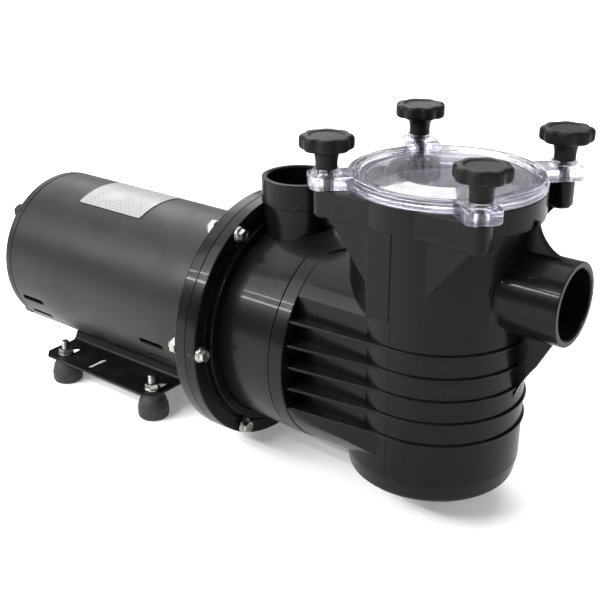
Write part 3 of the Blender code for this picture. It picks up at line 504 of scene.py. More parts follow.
def laminations():
    """Stacked steel sheets: fine lines across the shaft."""
    look = Look("laminations", (0.26, 0.27, 0.29), 0.5, 0.9)
    wave = look.node("ShaderNodeTexWave", Vector=look.place, Scale=320.0, Distortion=0.4, Detail=1.0)
    base = look.mix(wave.outputs["Fac"], (0.17, 0.17, 0.18), (0.34, 0.35, 0.37))
    look.grain(700.0, 0.05 * MM, 0.4)
    return look.done(base, look.ramp(look.noise(80.0), 0.3, 0.7, 0.4, 0.6))


def varnished_wire():
    """Windings: fine wire ridges under brown varnish."""
    look = Look("varnished_wire", (0.42, 0.16, 0.06), 0.3, 0.7)
    wave = look.node("ShaderNodeTexWave", Vector=look.place, Scale=240.0, Distortion=3.0, Detail=2.0)
    base = look.mix(wave.outputs["Fac"], (0.28, 0.09, 0.03), (0.55, 0.24, 0.10))
    look.grain(300.0, 0.3 * MM, 0.5)
    return look.done(base, look.ramp(look.noise(60.0), 0.3, 0.7, 0.22, 0.42))


LOOKS = {
    "black_plastic": moulded(
        "black_moulding", (0.0030, 0.0030, 0.0034), 0.26, Specular_IOR_Level=0.09, Coat_Weight=0.08,
        Coat_Roughness=0.06,
    ),
    "knob_plastic": moulded(
        "knob_moulding", (0.0045, 0.0045, 0.0050), 0.46, 0.15, 0.18, 0.02, Specular_IOR_Level=0.14,
    ),
    # The basket's emission is painted light: a faint glow that lifts the basket's shade inside the lid, where no
    # lamp reaches it.
    "basket_plastic": moulded(
        "basket_moulding", (0.30, 0.305, 0.32), 0.42, dust=0.02, Emission_Color=(0.80, 0.81, 0.85, 1.0),
        Emission_Strength=0.12, Specular_IOR_Level=0.3,
    ),
    "clear_plastic": clear_plastic(),
    "motor_paint": painted("motor_paint", (0.0075, 0.0075, 0.0083), 0.42, Specular_IOR_Level=0.22),
    "base_paint": painted("base_paint", (0.004, 0.004, 0.0045), 0.34, 900.0, 0.06, Specular_IOR_Level=0.14),
    "rubber": rubber("foot_rubber", (0.008, 0.008, 0.008), 0.62),
    "seal_rubber": rubber("seal_rubber", (0.012, 0.012, 0.013), 0.45),
    "ceramic": moulded("seal_ceramic", (0.80, 0.78, 0.72), 0.22, grain=0.01, dust=0.0),
    "zinc": metal("zinc_plate", (0.36, 0.36, 0.35), 0.28, (0.29, 0.27, 0.23)),
    "steel": metal("ground_steel", (0.56, 0.57, 0.58), 0.30, (0.50, 0.50, 0.52), (1.0, 12.0, 12.0)),
    "core_steel": laminations(),
    "copper": varnished_wire(),
    "label": label_stock(),
    "capacitor_case": moulded("capacitor_case", (0.02, 0.02, 0.022), 0.35, dust=0.0),
}


# ---- motor -----------------------------------------------------------------------------------


def motor_shell():
    """Rolled shell with round-ended vent slots low on both sides."""
    inner = SHELL_R - SHELL_WALL
    shell = lathe("motor_shell_skin", rounded([
        (inner, SHELL_X[0]), (SHELL_R - 0.4 * MM, SHELL_X[0]), (SHELL_R, SHELL_X[0] + 1.2 * MM),
        (SHELL_R, SHELL_X[1] - 1.2 * MM), (SHELL_R - 0.4 * MM, SHELL_X[1]), (inner, SHELL_X[1]),
    ], 0.5 * MM), steps=192)
    slots = []
    for x in VENT_X:
        for angle in (-22.0, -37.0):
            for side in (angle, 180.0 - angle):
                outline = slot_outline(*VENT_SIZE, x)
                slots.append(prism(
                    "vent", outline, -SHELL_R - 5 * MM, 5 * MM - SHELL_R, "XZ", SHAFT, -side, axis="X",
                ))
    cut(shell, merged("vents", slots))
    finish(shell, "motor_paint", "root", "motor_shell")


def end_bells():
    """Cast rear bell with bolt lugs, cooling slots and a bearing cap."""
    joint, back = BELL_X[1], BELL_X[0]
    bell = turned("rear_bell_casting", [
        (0.0, back), (15 * MM, back, 1.5 * MM), (17 * MM, back + 1.6 * MM, 1 * MM),
        (30 * MM, back + 1.8 * MM, 2 * MM),
        (52 * MM, back + 4.6 * MM, 8 * MM), (66 * MM, joint - 13.2 * MM, 8 * MM),
        (78 * MM, joint - 10.9 * MM, 4 * MM), (SHELL_R, joint - 8.2 * MM, 3.5 * MM),
        (SHELL_R, joint, 0.6 * MM),
        (79 * MM, joint, 0.0), (79 * MM, joint + 6 * MM, 0.5 * MM), (76.5 * MM, joint + 6 * MM, 0.5 * MM),
        (76.5 * MM, joint - 6 * MM, 2 * MM), (64 * MM, joint - 9.5 * MM, 3 * MM),
        (50 * MM, joint - 15.5 * MM, 3 * MM),
        (24.5 * MM, joint - 17.5 * MM, 2 * MM), (24.5 * MM, joint + 3 * MM, 0.5 * MM),
        (20.3 * MM, joint + 3 * MM, 0.5 * MM), (20.3 * MM, joint - 9.7 * MM), (0.0, joint - 9.7 * MM),
    ], 1 * MM, steps=160)
    lugs = []
    for angle in around(4, 45.0):
        place = on_circle(THROUGH_BOLT_CIRCLE_R, angle)
        lugs.append(rod("lug", 8.0 * MM, joint - 13 * MM, joint - 4 * MM, place, steps=48, edge=1 * MM))
        rib = prism("lug_rib", rounded([
            (30 * MM, joint - 19 * MM), (72 * MM, joint - 12.6 * MM), (72 * MM, joint - 8 * MM),
            (30 * MM, joint - 14 * MM),
        ], 0.5 * MM), -1.6 * MM, 1.6 * MM, "XY", edge=0.8 * MM)
        swing(rib, Matrix(((0, 1, 0, 0), (-1, 0, 0, 0), (0, 0, 1, 0), (0, 0, 0, 1))), -angle)
        lugs.append(rib)
    join(bell, *lugs)
    slots = []
    for angle in around(12, 15.0):
        outline = slot_outline(18 * MM, 6.5 * MM, -48 * MM)
        cutter = prism("air_slot", outline, joint - 40 * MM, joint - 11 * MM, "XY")
        swing(cutter, PLANES["YZ"], -angle)
        slots.append(cutter)
    for angle in around(4, 45.0):
        place = on_circle(THROUGH_BOLT_CIRCLE_R, angle)
        slots.append(rod("bolt_passage", 3 * MM, joint - 30 * MM, joint + 20 * MM, place, steps=24))
    cut(bell, merged("bell_openings", slots))
    finish(bell, "motor_paint", "root", "rear_end_bell")


def through_bolts():
    """Hexagon heads with washers, on long plain rods."""
    seat = BELL_X[1] - 13 * MM
    for number, angle in enumerate(around(4, 45.0), 1):
        place = on_circle(THROUGH_BOLT_CIRCLE_R, angle)
        name = f"through_bolt_head_{number}"
        bolt = hexagon(name, 5 * MM, seat - 4.3 * MM, seat - 1.2 * MM, place, "X", -1)
        washer = rod("washer", 5.6 * MM, seat - 1.4 * MM, seat - 0.3 * MM, place, steps=40, edge=0.3 * MM)
        shank = rod("shank", 2.5 * MM, seat - 1 * MM, high(f"through_bolt_{number}", 0), place, steps=24)
        join(bolt, washer, shank)
        finish(bolt, "zinc", "root", f"through_bolt_{number}")


def hexagon(name, radius, start, end, origin, axis, chamfered=0, bore=0.0):
    """A hexagonal head or nut; chamfered is 1 or -1 for its turned end, or 2 for both."""
    body = lathe(name, [(0.0, start), (radius, start), (radius, end), (0.0, end)], origin, axis, 6)
    drop, reach = 0.9 * MM, 0.93 * radius
    low_r = reach if chamfered in (-1, 2) else radius * 1.2
    high_r = reach if chamfered in (1, 2) else radius * 1.2
    turning = lathe("turning", [
        (0.0, start - 0.1 * MM), (low_r, start - 0.1 * MM), (radius * 1.08, start + drop),
        (radius * 1.08, end - drop),
        (high_r, end + 0.1 * MM), (0.0, end + 0.1 * MM),
    ], origin, axis, 64)
    combine(body, "INTERSECT", [turning])
    if bore:
        cut(body, rod("bore", bore, start - 5 * MM, end + 5 * MM, origin, axis, 32))
    return body


def nameplate():
    """Curved label with rounded corners, bent from a flat blank."""
    box_low, box_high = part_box("nameplate")
    radius = SHELL_R + 0.3 * MM
    start = math.acos(min(1.0, -box_low.y / (SHELL_R + 0.9 * MM)))
    end = math.pi - math.acos(min(1.0, box_high.y / (SHELL_R + 0.9 * MM)))
    length = (end - start) * radius
    outline = rounded([
        (box_low.x, 0.0), (box_high.x, 0.0), (box_high.x, length), (box_low.x, length),
    ], 3 * MM)
    form = bmesh.new()
    face = form.faces.new([form.verts.new((x, s, 0.0)) for x, s in outline])
    grown = bmesh.ops.extrude_face_region(form, geom=[face])["geom"]
    push(form, grown, 0.5 * MM)
    for step in range(1, 24):
        bmesh.ops.bisect_plane(
            form, geom=form.verts[:] + form.edges[:] + form.faces[:], plane_co=(0.0, length * step / 24, 0.0),
            plane_no=(0.0, 1.0, 0.0),
        )
    for vert in form.verts:
        x, along, out = vert.co
        angle = start + along / radius
        vert.co = (x, -(radius + out) * math.cos(angle), (radius + out) * math.sin(angle))
    plate = placed("label_plate", form, Matrix.Translation(SHAFT))
    finish(plate, "label", "root", "nameplate")


# ---- base and feet ---------------------------------------------------------------------------


def base_plate():
    """Pressed base: cradle under the motor, bent flanges, clipped corners, slots and holes."""
    top, bend_y = BASE_Z + BASE_THICKNESS, 32 * MM
    centre, inner = (0.0, AXIS_Z), SHELL_R + 0.3 * MM
    cradle = arc(centre, inner, 288, 270, 12)
    corners = [(BASE_Y, top, 0.4 * MM), (bend_y, top, 5 * MM), (*cradle[0], 2 * MM), cradle[1]]
    half = rounded(corners, 0.0, closed=False)
    upper = half[:-1] + cradle[1:]
    upper += [(-y, z) for y, z in reversed(upper[:-1])]
    under = arc(centre, inner + BASE_THICKNESS, 253.5, 270, 12)
    corners = [(-BASE_Y, BASE_Z), (BASE_THICKNESS - bend_y, BASE_Z, 5 * MM), under[0]]
    lower = rounded(corners, 0.0, closed=False)
    lower += under[1:]
    lower += [(-y, z) for y, z in reversed(lower[:-1])]
    plate = prism("base_pressing", upper + lower, *BASE_X, "YZ")
    cutters = []
    for x, clip in zip(BASE_X, (8 * MM, 14 * MM)):
        for y in (-BASE_Y, BASE_Y):
            cutters.append(rod("clip", clip, -0.1, 0.1, (x, y, 0.0), "Z", 4))
    for side in (-1, 1):
        for x, width in ((-186.5 * MM, 7 * MM), (FEET[0].x, 9.4 * MM), (FEET[2].x, 9.4 * MM)):
            cutters.append(prism(
                "slot", slot_outline(25 * MM, width), 0.0, 60 * MM, "XY", (x, side * 56.5 * MM, 0.0), 90.0,
            ))
        for x, y, radius in ((-200, 65, 2.2), (-150, 60, 2.2), (-112, 38, 2.4)):
            cutters.append(rod("hole", radius * MM, 0.0, 60 * MM, (x * MM, side * y * MM, 0.0), "Z", 24))
    cut(plate, merged("base_openings", cutters))
    bevel = plate.modifiers.new("edge", "BEVEL")
    bevel.width = 0.4 * MM
    bevel.segments = 2
    bevel.limit_method = "ANGLE"
    bevel.angle_limit = math.radians(50)
    combine(plate, "UNION", [])
    finish(plate, "base_paint", "root", "base_plate")


def threaded(radius, start, end, pitch):
    """Profile points of a threaded rod, as a stack of shallow grooves."""
    count = int((end - start) / pitch)
    points = [(0.0, start), (radius - 0.6 * pitch, start)]
    for i in range(count):
        base = start + i * pitch
        points += [(radius - 0.55 * pitch, base + 0.1 * pitch), (radius, base + 0.5 * pitch),
                   (radius, base + 0.62 * pitch)]
    return points + [(radius - 0.6 * pitch, end), (0.0, end)]


def feet():
    """Domed rubber feet, and their studs with washer and nut."""
    plate_top = BASE_Z + BASE_THICKNESS + 0.3 * MM
    for number, foot in enumerate(FEET, 1):
        place = (foot.x, foot.y, 0.0)
        dome = lathe(f"rubber_foot_{number}", rounded([
            (0.0, 0.0), (FOOT_R - 3.5 * MM, 0.0, 0.5 * MM), (FOOT_R - 3 * MM, 0.5 * MM, 0.5 * MM),
            (FOOT_R - 1 * MM, 0.5 * MM, 1 * MM), (FOOT_R, 3 * MM, 2 * MM), (FOOT_R, 11 * MM, 7 * MM),
            (13.4 * MM, 19.5 * MM, 6 * MM), (10.6 * MM, FOOT_TOP - 3 * MM, 2 * MM),
            (10.6 * MM, FOOT_TOP, 0.8 * MM),
            (4.8 * MM, FOOT_TOP, 0.4 * MM), (4.8 * MM, 12 * MM), (0.0, 12 * MM),
        ], 0.5 * MM, closed=False, steps=6), place, "Z", 64)
        finish(dome, "rubber", "root", f"foot_{number}")
        thread = threaded(4 * MM, 12.3 * MM, high(f"foot_stud_{number}", 2), 1.25 * MM)
        stud = lathe(f"foot_thread_{number}", thread, place, "Z", 32)
        nut = hexagon("nut", 7.4 * MM, plate_top + 1.4 * MM, plate_top + 6.5 * MM, place, "Z", 2)
        washer = rod("washer", 8.2 * MM, plate_top, plate_top + 1.5 * MM, place, "Z", 48, 0.3 * MM)
        join(stud, nut, washer)
        finish(stud, "zinc", "root", f"foot_stud_{number}")


# ---- pump end --------------------------------------------------------------------------------


def flange_drills():
    return merged("flange_drills", [
        rod("drill", 4.5 * MM, -60 * MM, 60 * MM, on_circle(BOLT_CIRCLE_R, angle), steps=32)
        for angle in around(6)
    ])


def seal_plate():
    """Thick disc behind the volute: smooth rim in front, pockets and ribs on the motor's side."""
    back, front = PLATE_X
    pilot = CHAMBER_R - 0.3 * MM
    plate = lathe("seal_plate_moulding", rounded([
        (11 * MM, back), (88 * MM, back), (88 * MM, back + 4 * MM, 1 * MM),
        (103 * MM, back + 4 * MM, 1 * MM),
        (104 * MM, back), (FLANGE_R - 0.4 * MM, back, 1.6 * MM), (FLANGE_R, front, 0.7 * MM),
        (pilot, front),
        (pilot, 9.5 * MM), (82 * MM, 9.5 * MM), (82 * MM, front + 1 * MM), (19.5 * MM, front + 1 * MM),
        (19.5 * MM, -4.5 * MM), (11 * MM, -4.5 * MM),
    ], 0.5 * MM), steps=192)
    pads = []
    for angle in around(6):
        place = on_circle(BOLT_CIRCLE_R - 2 * MM, angle)
        pads.append(rod("pad", 9.5 * MM, back, back + 6 * MM, place, steps=40, edge=0.8 * MM))
    for angle in around(12, 15.0):
        pads.append(prism("rib", in_mm(
            (-105, -1.5), (-86, -1.5), (-86, 1.5), (-105, 1.5),
        ), back + 0.4 * MM, back + 6 * MM, "YZ", SHAFT, -angle, axis="X", edge=0.5 * MM))
    join(plate, *pads)
    cut(plate, flange_drills())
    finish(plate, "black_plastic", "root", "seal_plate")


def seam_pad(edge):
    """A thin raised pad on top of the barrel, from its (X, Y) edge on one side, with Y in millimetres."""
    outline = [(x, -y * MM) for x, y in edge] + [(x, y * MM) for x, y in reversed(edge)]
    pad = prism("seam_pad", rounded(outline, 2 * MM), AXIS_Z + 60 * MM, AXIS_Z + 110 * MM)
    return combine(pad, "INTERSECT", [rod("pad_round", BARREL_R + 1.3 * MM, 40 * MM, 125 * MM, steps=192)])


def volute_housing():
    """Flanged barrel, bolt bosses, discharge port with its collar, and the pad that it stands on."""
    front_x = FLANGE_X[1]
    housing = turned("volute_moulding", [
        (0.0, FLANGE_X[0]), (FLANGE_R, FLANGE_X[0], 0.6 * MM), (FLANGE_R - 0.3 * MM, front_x, 1.5 * MM),
        (104.5 * MM, front_x, 0.8 * MM), (104 * MM, front_x - 2.5 * MM, 1 * MM),
        (LAND_R + 0.3 * MM, front_x - 2.5 * MM, 1 * MM), (LAND_R, LAND_X, 0.8 * MM),
        (BARREL_ROOT_R + 1.5 * MM, LAND_X, 0.8 * MM), (BARREL_ROOT_R, LAND_X - 1 * MM, 1.2 * MM),
        (BARREL_ROOT_R + 0.2 * MM, LAND_X + 2 * MM, 1 * MM), (BARREL_R, SEAM_X, 0.7 * MM), (0.0, SEAM_X),
    ], 0.5 * MM, steps=192)
    port_axis = (DISCHARGE_X, 0.0, 0.0)
    neck = turned("neck", [
        (0.0, 160 * MM), (PORT_R - 2.5 * MM, 160 * MM), (PORT_R - 2.5 * MM, 238 * MM, 0.5 * MM),
        (PORT_R - 1 * MM, 242 * MM), (0.0, 242 * MM),
    ], 0.5 * MM, port_axis, "Z", 128)
    mouth = rod("mouth", PORT_R, 238.5 * MM, DISCHARGE_TOP, port_axis, "Z", 128, 1.0 * MM)
    half = 30 * MM
    pad = prism("pad", rounded([
        (-half, 0.0, 2 * MM), (half, 0.0, 2 * MM), (half - 4 * MM, 12 * MM), (4 * MM - half, 12 * MM),
    ], 0.5 * MM), FLANGE_X[0] + 0.7 * MM, FLANGE_X[1] - 0.5 * MM, "YZ", edge=0.8 * MM)
    extras = [neck, mouth, pad]
    for angle in around(6):
        place = on_circle(BOLT_CIRCLE_R - 1.5 * MM, angle)
        extras.append(rod("boss", 9 * MM, front_x - 5 * MM, front_x, place, steps=48, edge=0.5 * MM))
    shield = prism("port_shield", rounded(in_mm(
        (-60, 60), (60, 60), (57, 90), (45, 104), (24, 113), (-24, 113), (-45, 104), (-57, 90),
    ), 3 * MM), front_x - 4 * MM, front_x + 0.6 * MM, "YZ", SHAFT, edge=0.5 * MM)
    lift = prism("rim_key", rounded(in_mm(
        (-16, 112), (-34, 105), (-35.5, 113.2), (-17, 118.6),
    ), 0.8 * MM), FLANGE_X[0] + 1 * MM, front_x - 1 * MM, "YZ", SHAFT, edge=0.5 * MM)
    raised = seam_pad([(SEAM_X, 31.4), (SEAM_X - 2 * MM, 31.2), (57.6 * MM, 23.1), (50 * MM, 12.0)])
    join(housing, *extras, shield, lift, raised)
    chamber = rod("chamber", CHAMBER_R, -10 * MM, 100 * MM, steps=160)
    bore = turned("bore", [
        (0.0, 180 * MM), (PORT_BORE_R - 1.5 * MM, 180 * MM), (PORT_BORE_R - 1.5 * MM, 226 * MM, 0.5 * MM),
        (PORT_BORE_R, 227 * MM, 0.5 * MM), (PORT_BORE_R, DISCHARGE_TOP - 1.2 * MM, 0.4 * MM),
        (PORT_BORE_R + 1.3 * MM, DISCHARGE_TOP + 0.2 * MM), (0.0, 280 * MM),
    ], 0.3 * MM, port_axis, "Z", 128)
    cut(housing, chamber, bore, flange_drills())
    finish(housing, "black_plastic", "root", "volute_housing")


def flange_fasteners():
    """Flanged hexagon bolts with washers, and nuts behind the plate."""
    face = FLANGE_X[1] + 0.3 * MM
    back = PLATE_X[0] - 0.3 * MM
    for number, angle in enumerate(around(6), 1):
        place = on_circle(BOLT_CIRCLE_R, angle)
        bolt = rod(f"flange_screw_{number}", 7.3 * MM, face, face + 1.1 * MM, place, steps=64, edge=0.3 * MM)
        skirt = lathe("skirt", [
            (0.0, face + 1 * MM), (6.9 * MM, face + 1 * MM), (6.7 * MM, face + 1.9 * MM),
            (5.6 * MM, face + 2.6 * MM),
            (0.0, face + 2.6 * MM),
        ], place, "X", 64)
        head = hexagon("head", 5.6 * MM, face + 1.5 * MM, face + 7 * MM, place, "X", 1)
        thread = threaded(4 * MM, low(f"flange_bolt_{number}", 0), face + 1 * MM, 1.25 * MM)
        shank = lathe("shank", thread, place, "X", 32)
        dimple = rod("dimple", 3 * MM, face + 6.4 * MM, face + 9 * MM, place, steps=32)
        join(bolt, skirt, head, shank)
        cut(bolt, dimple)
        finish(bolt, "zinc", "root", f"flange_bolt_{number}")
        nut = hexagon(f"flange_nut_piece_{number}", 7.2 * MM, back - 6.5 * MM, back - 1.2 * MM, place, "X", 2)
        washer = rod("washer", 7.3 * MM, back - 1.4 * MM, back, place, steps=48, edge=0.3 * MM)
        join(nut, washer)
        cut(nut, rod("bore", 4.4 * MM, back - 20 * MM, back + 5 * MM, place, steps=32))
        finish(nut, "zinc", "root", f"flange_nut_{number}")


def trimmed_circle(radius, half_width):
    """A circle round the shaft line with its two sides cut off straight."""
    edge = math.degrees(math.acos(half_width / radius))
    centre = (0.0, AXIS_Z)
    return arc(centre, radius, edge, 180 - edge, 40) + arc(centre, radius, 180 + edge, 360 - edge, 40)


def pot_plan(radius, root_y, steps=64):
    """A round nose about the pot's axis with straight sides that widen towards the volute."""
    reach = POT_X - COLLAR_X
    lean = math.asin(radius / math.hypot(reach, root_y)) - math.atan2(root_y, reach)
    turn = 90.0 - math.degrees(lean)
    back = COLLAR_X - 2 * MM
    return arc((POT_X, 0.0), radius, -turn, turn, steps) + [(back, root_y), (back, -root_y)]


def strainer_body():
    """Ribbed strainer pot with shoulder, lid rim, bosses, gussets and the suction port."""
    body = turned("strainer_moulding", [
        (0.0, SEAM_X + 0.4 * MM), (BARREL_R, SEAM_X + 0.4 * MM, 0.7 * MM), (BARREL_R, COLLAR_X, 1.2 * MM),
        (0.0, COLLAR_X),
    ], 0.0, steps=192)
    section = trimmed_circle(BARREL_R - 0.4 * MM, SIDE_Y)
    shoulder = prism("shoulder", section, SEAM_X + 4 * MM, POT_X, "YZ", edge=1.0 * MM)
    below = prism("below", [
        (SEAM_X, -0.1), (POT_X + 1 * MM, -0.1), (POT_X + 1 * MM, 0.1), (SEAM_X, 0.1),
    ], 0.0, RIB_LEVELS[0] - 1.7 * MM)
    cut(shoulder, below)
    plan = pot_plan(POT_R + 0.3 * MM, 88 * MM)
    bowl = prism("bowl", plan, POT_BASE - 8 * MM, RIB_LEVELS[0], "XY", edge=0.6 * MM)
    combine(bowl, "INTERSECT", [rod("round", BARREL_R - 0.8 * MM, SEAM_X + 6 * MM, POT_X, steps=160)])
    pot = turned("pot", [
        (0.0, POT_BASE), (POT_R - 9 * MM, POT_BASE, 5 * MM), (POT_R - 3 * MM, POT_BASE + 5 * MM, 6 * MM),
        (POT_R, POT_BASE + 20 * MM, 12 * MM), (POT_R, RIM_Z[0] + 4 * MM), (0.0, RIM_Z[0] + 4 * MM),
    ], 0.0, POT, "Z", 160)
    panels = prism("panels", rounded([
        (PANEL_X[0], -PANEL_Y), (PANEL_X[1], -PANEL_Y), (PANEL_X[1], PANEL_Y), (PANEL_X[0], PANEL_Y),
    ], 1.2 * MM), PANEL_UNDER, RIM_Z[0] + 2 * MM, "XY", edge=1.2 * MM)
    seam_ridge = prism("seam_ridge", [
        (POT_X - 0.35 * MM, -POT_R - 0.25 * MM), (POT_X + 0.35 * MM, -POT_R - 0.25 * MM),
        (POT_X + 0.35 * MM, POT_R + 0.25 * MM), (POT_X - 0.35 * MM, POT_R + 0.25 * MM),
    ], POT_BASE + 22 * MM, PANEL_UNDER + 2 * MM)
    ribs = []
    for level in RIB_LEVELS:
        root_y = min(89 * MM, math.sqrt((BARREL_R - 1 * MM) ** 2 - (level - AXIS_Z) ** 2))
        plan = pot_plan(RIB_R, root_y)
        ribs.append(prism("rib", plan, level - 1.2 * MM, level + 1.2 * MM, "XY", edge=0.7 * MM))
    corner = 9.5 * MM
    half = LUG_OFFSET + corner
    inner = half - 2 * corner
    outline = [
        (POT_X - half, -half), (POT_X + half, -half), (POT_X + half, -inner), (RIM_NOTCH_X, -inner, 0.0),
        (RIM_NOTCH_X, inner, 0.0), (POT_X + half, inner), (POT_X + half, half), (POT_X - half, half),
    ]
    rim_square = prism("rim_square", rounded(outline, corner, steps=10), *RIM_Z, "XY", edge=1.0 * MM)
    rim_round = turned("rim_round", [
        (0.0, RIM_Z[0] + 0.8 * MM), (RIM_R, RIM_Z[0] + 0.8 * MM, 1 * MM),
        (RIM_R, RIM_Z[1] + 0.1 * MM, 1 * MM),
        (0.0, RIM_Z[1] + 0.1 * MM),
    ], 0.0, POT, "Z", 160)
    bosses = []
    for knob in KNOBS:
        bosses.append(turned("boss", [
            (0.0, RIM_Z[0] - 1.5 * MM), (8.6 * MM, RIM_Z[0] - 1.5 * MM, 1 * MM),
            (9.7 * MM, RIM_Z[1] - 2 * MM, 0.5 * MM),
            (9.4 * MM, RIM_Z[1] + 0.1 * MM, 0.5 * MM), (0.0, RIM_Z[1] + 0.1 * MM),
        ], 0.0, knob, "Z", 48))
    reach, top = LUG_OFFSET - 2 * MM, RIM_Z[0] + 1 * MM
    side = [(reach, top), (reach - 2 * MM, top - 4 * MM, 3 * MM), GUSSET_FOOT]
    fin_plan = rounded(side, 0.0, closed=False)
    fin_plan += [(-across, up) for across, up in reversed(fin_plan)]
    fins = [
        prism("fin", fin_plan, y - GUSSET_THICKNESS / 2, y + GUSSET_THICKNESS / 2, "XZ", POT, edge=0.6 * MM)
        for y in (-LUG_OFFSET, LUG_OFFSET)
    ]
    upper = arc((300 * MM, 272 * MM), 32 * MM, 270, 190, 16)
    lower = arc((348 * MM, 90 * MM), 90 * MM, 180, 142, 16) + [(290 * MM, 170 * MM)]
    back = POT_X + 60 * MM
    web = prism(
        "web", [(back, 84 * MM)] + lower + [(300 * MM, 190 * MM)] + upper + [(back, RIM_Z[0] + 2 * MM)],
        -2.6 * MM, 2.6 * MM, "XZ", edge=0.7 * MM,
    )
    port = rod("port", PORT_R, 240 * MM, SUCTION_FACE, SUCTION, steps=128, edge=1.1 * MM)
    saddle = turned("saddle", [
        (0.0, 225 * MM), (PORT_R + 6 * MM, 225 * MM), (PORT_R + 6 * MM, 252 * MM, 2 * MM),
        (PORT_R + 1 * MM, 254 * MM, 2.5 * MM), (PORT_R - 1 * MM, 259 * MM), (0.0, 259 * MM),
    ], 0.0, SUCTION, "X", 128)
    raised = seam_pad([(SEAM_X + 0.4 * MM, 31.5), (95.1 * MM, 33.5), (105.2 * MM, 23.4), (112 * MM, 12.0)])
    join(body, shoulder, bowl, pot, panels, seam_ridge, *ribs, rim_square, rim_round, *bosses, *fins)
    join(body, web, port, saddle, raised)

    section = trimmed_circle(BARREL_R - 5 * MM, SIDE_Y - 4.6 * MM)
    space = prism("front_space", section, SEAM_X - 5 * MM, 150 * MM, "YZ")
    cut(space, rod("keep", POT_R, 0.0, 300 * MM, POT, "Z", 160))
    cut(body, space)
    join(body, rod("nozzle", 31 * MM, 61 * MM, POT_X - POT_R + 2 * MM, steps=96, edge=1 * MM))
    pot_space = turned("pot_space", [
        (0.0, POT_FLOOR), (POT_R - POT_WALL - 1 * MM, POT_FLOOR, 4 * MM),
        (POT_R - POT_WALL, POT_FLOOR + 12 * MM, 4 * MM),
        (POT_R - POT_WALL, RIM_Z[1] - 0.8 * MM, 0.5 * MM), (POT_R - POT_WALL + 1.2 * MM, RIM_Z[1] + 1 * MM),
        (0.0, RIM_Z[1] + 5 * MM),
    ], 0.0, POT, "Z", 160)
    suction_bore = lathe("suction_bore", [
        (0.0, POT_X + 40 * MM), (PORT_BORE_R - 1 * MM, POT_X + 40 * MM),
        (PORT_BORE_R - 1 * MM, SUCTION_FACE - 38 * MM),
        (PORT_BORE_R, SUCTION_FACE - 37 * MM), (PORT_BORE_R, SUCTION_FACE - 1.2 * MM),
        (PORT_BORE_R + 1.3 * MM, SUCTION_FACE + 0.2 * MM), (0.0, SUCTION_FACE + 5 * MM),
    ], SUCTION, "X", 128)
    holes = merged("holes", [
        rod("hole", 5.5 * MM, RIM_Z[0] + 3 * MM, 300 * MM, knob, "Z", 32) for knob in KNOBS
    ])
    cut(body, rod("eye_bore", 26.5 * MM, 50 * MM, POT_X - 40 * MM), pot_space, suction_bore, holes)
    finish(body, "black_plastic", "root", "strainer_body")


# ---- lid, basket and knobs -------------------------------------------------------------------


def lid():
    """Clear lid: stepped rim, shallow dome, spigot and four squared lugs."""
    base, top = LID_Z
    spigot = 66.6 * MM
    cover = turned("lid_moulding", [
        (0.0, base + 3.4 * MM), (spigot - 4 * MM, base + 3.2 * MM, 1 * MM),
        (spigot - 3.2 * MM, 272.5 * MM, 1 * MM),
        (spigot, 272.5 * MM, 0.8 * MM), (spigot, base, 0.6 * MM), (LID_R, base, 0.6 * MM),
        (LID_R, base + 4 * MM, 0.7 * MM), (LID_R - 1.6 * MM, base + 4.6 * MM, 0.5 * MM),
        (LID_R - 1.8 * MM, top, 1.6 * MM),
        (73.5 * MM, top, 1.2 * MM), (72.3 * MM, top - 2 * MM, 0.8 * MM),
        (69.5 * MM, top - 2 * MM, 0.8 * MM),
        (68.5 * MM, top - 3 * MM, 0.8 * MM), (40 * MM, top - 1.9 * MM, 30 * MM), (0.0, top - 1.5 * MM),
    ], 0.0, POT, "Z", 160)
    lugs = []
    for knob in KNOBS:
        outward = math.degrees(math.atan2(knob.y, knob.x - POT_X))
        reach = math.hypot(knob.y, knob.x - POT_X)
        plan = rounded([
            (reach - 20 * MM, -15 * MM, 0.0), (reach + 14.5 * MM, -14.6 * MM, 9 * MM),
            (reach + 14.5 * MM, 14.6 * MM, 9 * MM), (reach - 20 * MM, 15 * MM, 0.0),
        ], 0.0, steps=10)
        levels = base + 0.4 * MM, LUG_TOP - 1.6 * MM
        lugs.append(prism("lug", plan, *levels, "XY", POT, outward, edge=1.2 * MM))
        lugs.append(rod("collar", 12.2 * MM, base + 2 * MM, LUG_TOP, knob, "Z", 64, 0.8 * MM))
    join(cover, *lugs)
    cut(cover, merged("lug_holes", [
        rod("hole", 5.8 * MM, 200 * MM, 320 * MM, knob, "Z", 48) for knob in KNOBS
    ]))
    finish(cover, "clear_plastic", "lid", "lid")
    ring = lathe("lid_seal", arc((68.7 * MM, 279 * MM), 1.7 * MM, 0, 330, 11), POT, "Z", 160)
    finish(ring, "seal_rubber", "lid", "lid_o_ring", sharp=60)


def washers():
    for number, knob in enumerate(KNOBS, 1):
        washer = lathe(f"knob_collar_{number}", rounded([
            (5.6 * MM, WASHER_Z[0]), (11 * MM, WASHER_Z[0]), (10.6 * MM, WASHER_Z[1]),
            (5.6 * MM, WASHER_Z[1]),
        ], 0.5 * MM), knob, "Z", 64)
        finish(washer, "clear_plastic", f"washer_{number}", f"knob_washer_{number}")


